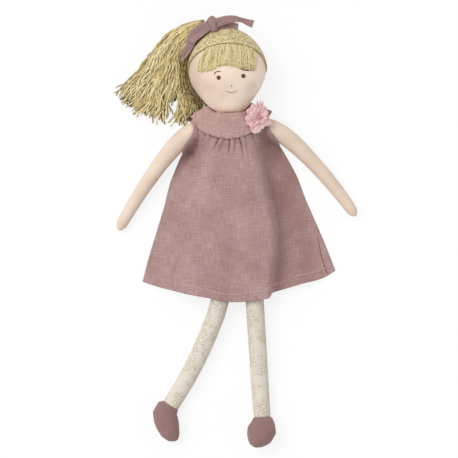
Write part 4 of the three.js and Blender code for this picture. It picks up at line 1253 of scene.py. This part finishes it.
def ribbon(name, places, widths, thickness, cup, node):
    route = smooth_route([KNOT + Vector(p) * RIBBON for p in places], RIBBON_STEPS)
    width_rows = [(k / (len(widths) - 1), w) for k, w in enumerate(widths)]
    verts, uvs = [], []
    last = RIBBON_STEPS - 1
    for k, point in enumerate(route):
        t = k / last
        ahead = (route[min(k + 1, last)] - route[max(k - 1, 0)]).normalized()
        side = Vector((0, 0, 1)).cross(ahead).normalized()
        up = ahead.cross(side).normalized()
        half = RIBBON / 2 * read(width_rows, t)
        swell = thickness * (1 - 0.35 * t)
        for n in range(RIBBON_SIDES):
            angle = 2 * math.pi * n / RIBBON_SIDES
            across = math.copysign(abs(math.cos(angle)) ** 0.75, math.cos(angle))
            lift = math.sin(angle) * swell * (1 - 0.35 * hump(across, 0.25))
            lift += cup * (across * across - 0.3) + 0.5 * math.sin(7 * t + 3 * across)
            verts.append((point + side * half * across + up * lift) * MM)
            uvs.append((half * across * MM + (0.1 if math.sin(angle) < 0 else 0), t * 0.035))
    obj = mesh_object(name, verts, tube_faces(0, RIBBON_STEPS, RIBBON_SIDES), uvs)
    edit(obj, lambda: bpy.ops.mesh.normals_make_consistent(inside=False))
    finish(obj, "head", bow_linen, "linen", node)


ribbon("bow_loop_left_linen",
       [(0.3, -0.25, -0.2), (0.7, -0.28, -0.3), (1.34, -0.22, -0.42), (2.1, -0.32, -0.46)],
       [0.42, 0.5, 0.56, 0.58], 1.7, 0.6, "bow_loop_left")
ribbon("bow_loop_right_linen",
       [(-0.2, -0.1, -0.1), (-0.62, -0.24, -0.15), (-1.1, -0.52, -0.2), (-1.6, -0.9, -0.26),
        (-1.93, -1.35, -0.36)],
       [0.8, 0.94, 0.98, 0.92, 0.7], 2.1, 0.8, "bow_loop_right")
ribbon("bow_tail_left_linen",
       [(0.25, 0.05, 0.1), (0.6, 0.14, 0.12), (1.19, 0.27, 0.05), (1.8, 0.3, -0.05),
        (2.39, 0.2, -0.15), (2.83, 0.02, -0.28), (3.34, -0.16, -0.4)],
       [0.72, 0.76, 0.7, 0.6, 0.4, 0.52, 0.66], 1.3, 0.8, "bow_tail_left")
ribbon("bow_tail_right_linen",
       [(-1.7, -1.15, -0.6), (-2.0, -1.6, -0.62), (-2.28, -2.1, -0.65), (-2.5, -2.5, -0.7),
        (-2.64, -2.85, -0.75)],
       [0.7, 0.7, 0.55, 0.34, 0.05], 1.3, 0.6, "bow_tail_right")
print("stretches of ribbon 4, each", RIBBON, "mm wide at most")

# %% [markdown]
# The knot is a sphere pressed into shape, leaning like the ribbon round it, with waves for
# the wrapped folds. A thin dark strand of painted shade lies in its deepest fold.

# %% Knot
KNOT_LEAN = math.radians(12.5)
KNOT_HALF, KNOT_HALF_LENGTH, FOLD_SHADE_LINE = 5.6, 8.0, 0.4

bpy.ops.object.select_all(action="DESELECT")
bpy.ops.mesh.primitive_uv_sphere_add(segments=48, ring_count=32, radius=1.0, location=(0, 0, 0))
knot = bpy.context.object
knot.name = "bow_knot_linen"
knot.data.uv_layers.active.name = "cloth"
for vertex in knot.data.vertices:
    x, y, z = vertex.co
    wrap = 0.5 * math.sin(5.5 * x + 2.0 * y + 1) * (1 - abs(y) ** 3) + 0.35 * math.sin(13 * x + 3 * z)
    half = KNOT_HALF + wrap
    ball = Vector((x * half, y * (KNOT_HALF_LENGTH + 0.5 * math.sin(4 * x)), z * half))
    ball.x *= 1 + 0.12 * y * y
    vertex.co = (KNOT + Matrix.Rotation(KNOT_LEAN, 3, "Z") @ ball) * MM
for loop in knot.data.uv_layers["cloth"].data:
    loop.uv = (loop.uv[0] * 0.04, loop.uv[1] * 0.02)
finish(knot, "head", bow_linen, "linen", "bow_knot")

knot_surface = surface_of(knot)
# painted shade: a dark strand in the knot's deepest fold
fold_hits = [drop_ray(knot_surface, KNOT.x + x, KNOT.y + y)[0]
             for x, y in ((-4.9, 4.0), (-4.6, 1.5), (-3.6, -2.0), (-2.4, -5.4))]
fold_route = smooth_route([hit for hit in fold_hits if hit], 12)
fold_line = strands("bow_fold_painted_shade", [fold_route], FOLD_SHADE_LINE)
finish(fold_line, "head", shadow_thread, "linen")
print("knot faces", len(knot.data.polygons))

# %% [markdown]
# ## The flower
# The flower on the shoulder is cut from felted cotton: rows of notched petals gathered at
# their base, so each one ruffles. A petal is a small grid whose edge is scalloped in the
# plane and waved out of it. It is turned round the heart, tilted with the shoulder and
# marked darker towards its base as painted shade; some petals are a little darker than others.

# %% Petal
FLOWER = Vector((28.6, 86.8, 36.2))
FLOWER_LEAN = math.radians(20)
PETAL_STEPS = 14
PETAL_BASE = 1.2


def petal_outline(shape, t):
    round_end = min(0.4 + 1.6 * t, 1) * math.sqrt(max(1 - max((t - 0.5) / 0.5, 0) ** 2, 0))
    pointed_end = min((1 - t) * 2.1, 1) * min(0.4 + 1.6 * t, 1)
    return lerp(round_end, pointed_end, shape)


def petal_grid(length, half_width, shape, notches, ruffle, lift, seed):
    verts, row = [], PETAL_STEPS + 1
    for j, i in product(range(row), range(row)):
        t, s = math.sin(math.pi / 2 * j / PETAL_STEPS), -1 + 2 * i / PETAL_STEPS
        half = half_width * max(petal_outline(shape, t), 0.04)
        notch = 0.16 * length * abs(math.sin(s * math.pi * notches / 2)) * t ** 4
        wave = math.sin(s * 3.2 + seed) + 0.4 * math.sin(s * 7 + 2 * seed)
        rise = lift * math.sin(t * 1.7) + ruffle * (t * wave - 0.5 * s * s)
        rise += 0.22 * t * math.sin(s * 15)
        verts.append(Vector((PETAL_BASE + length * t - notch, half * s, rise)))
    corners = [j * row + i for j, i in product(range(PETAL_STEPS), repeat=2)]
    return verts, [(a, a + 1, a + row + 1, a + row) for a in corners]


print("a petal has", PETAL_STEPS ** 2, "faces before it is smoothed")

# %% [markdown]
# The petals lie in two rows, read off the photograph. The lower row is pale and long; the
# upper one is short and curls up round a small round heart of the same cotton.

# %% Flower
PETAL_THICKNESS = 0.7
HEART_RADIUS, HEART_SHAPE = 2.2, (1.3, 0.8, 0.6)
HEART_PLACE = Vector((0.7, 0, 1.5))


def flower_petals(name, specs):
    verts, faces, depths = [], [], []
    for number, (turn, length, half_width, shape, notches, ruffle, lift, height) in enumerate(specs):
        points, quads = petal_grid(length, half_width, shape, notches, ruffle, lift, number * 1.7)
        spin = Matrix.Rotation(math.radians(turn), 4, "Z")
        tilt = Matrix.Rotation(FLOWER_LEAN, 4, "Y")
        base = len(verts)
        verts.extend((FLOWER + tilt @ (spin @ p + Vector((0, 0, height)))) * MM for p in points)
        # painted shade: darker towards the petal's base, and some petals darker than others
        shade = 0.28 * (0.5 + 0.5 * math.sin(number * 2.4))
        depths.extend(min(shade + 0.55 * ease(0.62, 0.1, (p.x - PETAL_BASE) / length), 1)
                      for p in points)
        faces.extend(tuple(base + n for n in quad) for quad in quads)
    obj = mesh_object(name, verts, faces, depth=depths)
    apply(obj, "SOLIDIFY", thickness=PETAL_THICKNESS * MM, offset=0.0)
    apply(obj, "SUBSURF", levels=1, render_levels=1)
    return obj


# turn, length, half width, pointedness, notches, ruffle, lift, height
LOWER_PETALS = [
    (-112, 15.4, 6.4, 0.0, 0, 0.5, 0.4, 0.4), (-30, 14.6, 5.6, 1.0, 0, 0.6, 0.8, 0.5),
    (-139, 12.6, 3.0, 0.0, 0, 0.5, 1.4, 0.6), (-158, 15.4, 4.4, 0.0, 3, 0.9, 1.0, -0.2),
    (-178, 14.2, 4.6, 0.0, 3, 0.9, 1.0, -0.5),
    (-70, 10.6, 4.2, 0.3, 0, 0.6, 0.8, -0.5), (2, 9.6, 4.6, 0.4, 0, 0.8, 1.2, 0.3),
    (28, 10.4, 5.0, 0.2, 3, 0.9, 1.6, -0.2), (55, 12.6, 4.6, 0.2, 3, 0.8, 2.2, -0.5),
    (73, 15.4, 1.7, 0.5, 0, 0.5, 2.4, -0.7), (84, 16.4, 1.5, 0.5, 0, 0.5, 2.6, -0.5),
    (95, 15.6, 1.8, 0.5, 0, 0.5, 2.4, -0.7), (117, 14.6, 5.2, 0.1, 3, 0.9, 2.2, -0.3),
    (144, 14.4, 5.0, 0.1, 3, 0.9, 1.6, -0.6),
]
UPPER_PETALS = [
    (-52, 5.8, 3.4, 0.4, 0, 0.9, 1.2, 0.9), (-8, 7.0, 3.4, 0.2, 0, 1.0, 2.0, 0.9),
    (40, 8.4, 4.2, 0.2, 2, 1.1, 2.8, 0.9), (82, 9.4, 3.8, 0.3, 0, 1.1, 3.2, 0.7),
    (118, 10.6, 4.6, 0.1, 3, 1.2, 3.2, 1.0), (155, 10.4, 4.0, 0.2, 2, 1.2, 2.6, 0.8),
    (192, 9.6, 3.8, 0.1, 3, 1.1, 2.2, 1.0), (228, 7.4, 3.0, 0.2, 0, 0.9, 1.6, 0.9),
]
lower_petals = flower_petals("flower_lower_petals", LOWER_PETALS)
finish(lower_petals, "torso", petal_cloth, "petal", *[f"flower_petal_{k}" for k in range(1, 7)],
       "flower_backing")
upper_petals = flower_petals("flower_upper_petals", UPPER_PETALS)
finish(upper_petals, "torso", petal_cloth, "petal")

bpy.ops.object.select_all(action="DESELECT")
bpy.ops.mesh.primitive_ico_sphere_add(subdivisions=4, radius=HEART_RADIUS * MM, location=(0, 0, 0))
heart = bpy.context.object
heart.name = "flower_heart_ball"
for vertex in heart.data.vertices:
    bumps = 1 + 0.12 * noise.noise(vertex.co / MM * 1.6)
    low = Vector([at * share * bumps for at, share in zip(vertex.co, HEART_SHAPE)])
    vertex.co = low + (FLOWER + HEART_PLACE) * MM
finish(heart, "torso", heart_cloth, "petal", "flower_heart")
print("petals", len(LOWER_PETALS) + len(UPPER_PETALS))

# %% [markdown]
# ## The face
# The eyes are satin stitch: threads laid side by side over a small disc, so each is a low
# dome of fine parallel strands. Brows, nose and mouth are single stitched lines of thinner
# thread, brown over the eyes and a paler pink brown for the nose and mouth.

# %% Face
EYES = {"right": (-8.9, 127.3), "left": (15.3, 127.7)}
EYE_RADIUS, EYE_TURN, EYE_THREAD, EYE_THREADS = 1.95, 0.35, 0.2, 15
FACE_LIFT = 0.15


def satin_disc(centre_x, centre_y, radius, turn):
    routes = []
    for k in range(EYE_THREADS):
        off = radius * (-1 + (2 * k + 1) / EYE_THREADS)
        half = math.sqrt(max(radius * radius - off * off, 0.05))
        route = []
        for n in range(9):
            s = half * (-1 + 2 * n / 8)
            x = centre_x + off * math.cos(turn) - s * math.sin(turn)
            y = centre_y + off * math.sin(turn) + s * math.cos(turn)
            share = (off * off + s * s) / (radius * radius * 1.05)
            dome = FACE_LIFT + 0.75 * math.sqrt(max(1 - share, 0))
            route.append(on_head(x, y, dome))
        routes.append(route)
    return routes


for side, (x, y) in EYES.items():
    eye = strands(f"eye_{side}_satin", satin_disc(x, y, EYE_RADIUS, EYE_TURN), EYE_THREAD)
    finish(eye, "head", brown_thread, "thread", f"eye_{side}")


def thin_ends(t):
    return lerp(0.45, 1, ease(0, 0.25, t) * (1 - 0.6 * ease(0.7, 1, t)))


for name, places, radius, material, taper in (
        ("brow_right", [(-13.2, 130.3), (-12.2, 132.3), (-9.8, 133.3), (-6.6, 133.2)],
         0.5, brown_thread, thin_ends),
        ("brow_left", [(12.8, 134.6), (15.5, 133.7), (18.4, 133.0), (22.4, 132.6)],
         0.58, brown_thread, thin_ends),
        ("nose", [(3.5, 119.8), (3.0, 118.7), (3.6, 117.9)], 0.32, pale_thread, None),
        ("mouth", [(-2.4, 114.3), (-0.8, 113.2), (3.0, 112.5), (6.6, 113.1), (8.6, 114.6)],
         0.34, pale_thread, None)):
    route = [on_head(x, y, FACE_LIFT) for x, y in flat_route(places, 24)]
    line = strands(f"{name}_thread", [route], radius, taper=taper)
    finish(line, "head", material, "thread", name)
print("eyes", list(EYES), "and four stitched lines")

# %% [markdown]
# At the back the yoke closes with a small linen-covered button in a thread loop. Both are
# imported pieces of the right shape, so they stay and only get their finish.

# %% Button
for node, material in (("back_button", bow_linen), ("button_loop", shadow_thread)):
    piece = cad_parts[node]
    piece.data.materials.clear()
    piece.data.materials.append(material)
    print(node, "is", material.name)

# %% [markdown]
# ## Light and floor
# The photograph has a plain white ground and soft light with hardly a shadow. A white world
# gives most of the light from all round, and one broad soft sun from above the doll's right
# shoulder gives the cloth its shape. The floor is white, catches the faint shadow, and is
# lit up for the camera alone so that it reads as white paper.

# %% Floor, world and lamp
WHITE = (1, 1, 1, 1)
FLOOR_HALF = 3000
FLOOR_GLOW, GLOW_SHARE, WORLD_LIGHT, SUN_LIGHT = 1.02, 0.8, 0.62, 1.55
SUN_FROM = Vector((-0.55, 0.45, 1.0))

corners = [Vector((x, y, 0)) * FLOOR_HALF * MM for x, y in ((-1, -1), (1, -1), (1, 1), (-1, 1))]
floor = mesh_object("floor", corners, [(0, 1, 2, 3)])
paper = bpy.data.materials.new("white paper")
paper.use_nodes = True
tree = paper.node_tree
paper_shader = tree.nodes["Principled BSDF"]
paper_shader.inputs["Base Color"].default_value = (0.9, 0.9, 0.9, 1)
paper_shader.inputs["Roughness"].default_value = 1.0
seen = add(tree, "ShaderNodeLightPath").outputs
share = sums(tree, "MULTIPLY", sums(tree, "MAXIMUM", seen["Is Camera Ray"], seen["Is Glossy Ray"]),
             GLOW_SHARE)
glow = add(tree, "ShaderNodeEmission", {"Color": WHITE, "Strength": FLOOR_GLOW})
blend = add(tree, "ShaderNodeMixShader", {0: share, 1: paper_shader.outputs[0], 2: glow.outputs[0]})
tree.links.new(blend.outputs[0], tree.nodes["Material Output"].inputs["Surface"])
floor.data.materials.append(paper)

world = bpy.data.worlds.new("white room")
bpy.context.scene.world = world
world.use_nodes = True
background = world.node_tree.nodes["Background"]
background.inputs["Color"].default_value = WHITE
background.inputs["Strength"].default_value = WORLD_LIGHT

sun_data = bpy.data.lights.new("broad sun", "SUN")
sun_data.energy = SUN_LIGHT
sun_data.angle = math.radians(40)
sun = new_object("broad sun", sun_data)
sun.rotation_euler = SUN_FROM.to_track_quat("Z", "Y").to_euler()
print("light from", tuple(round(v, 2) for v in SUN_FROM))
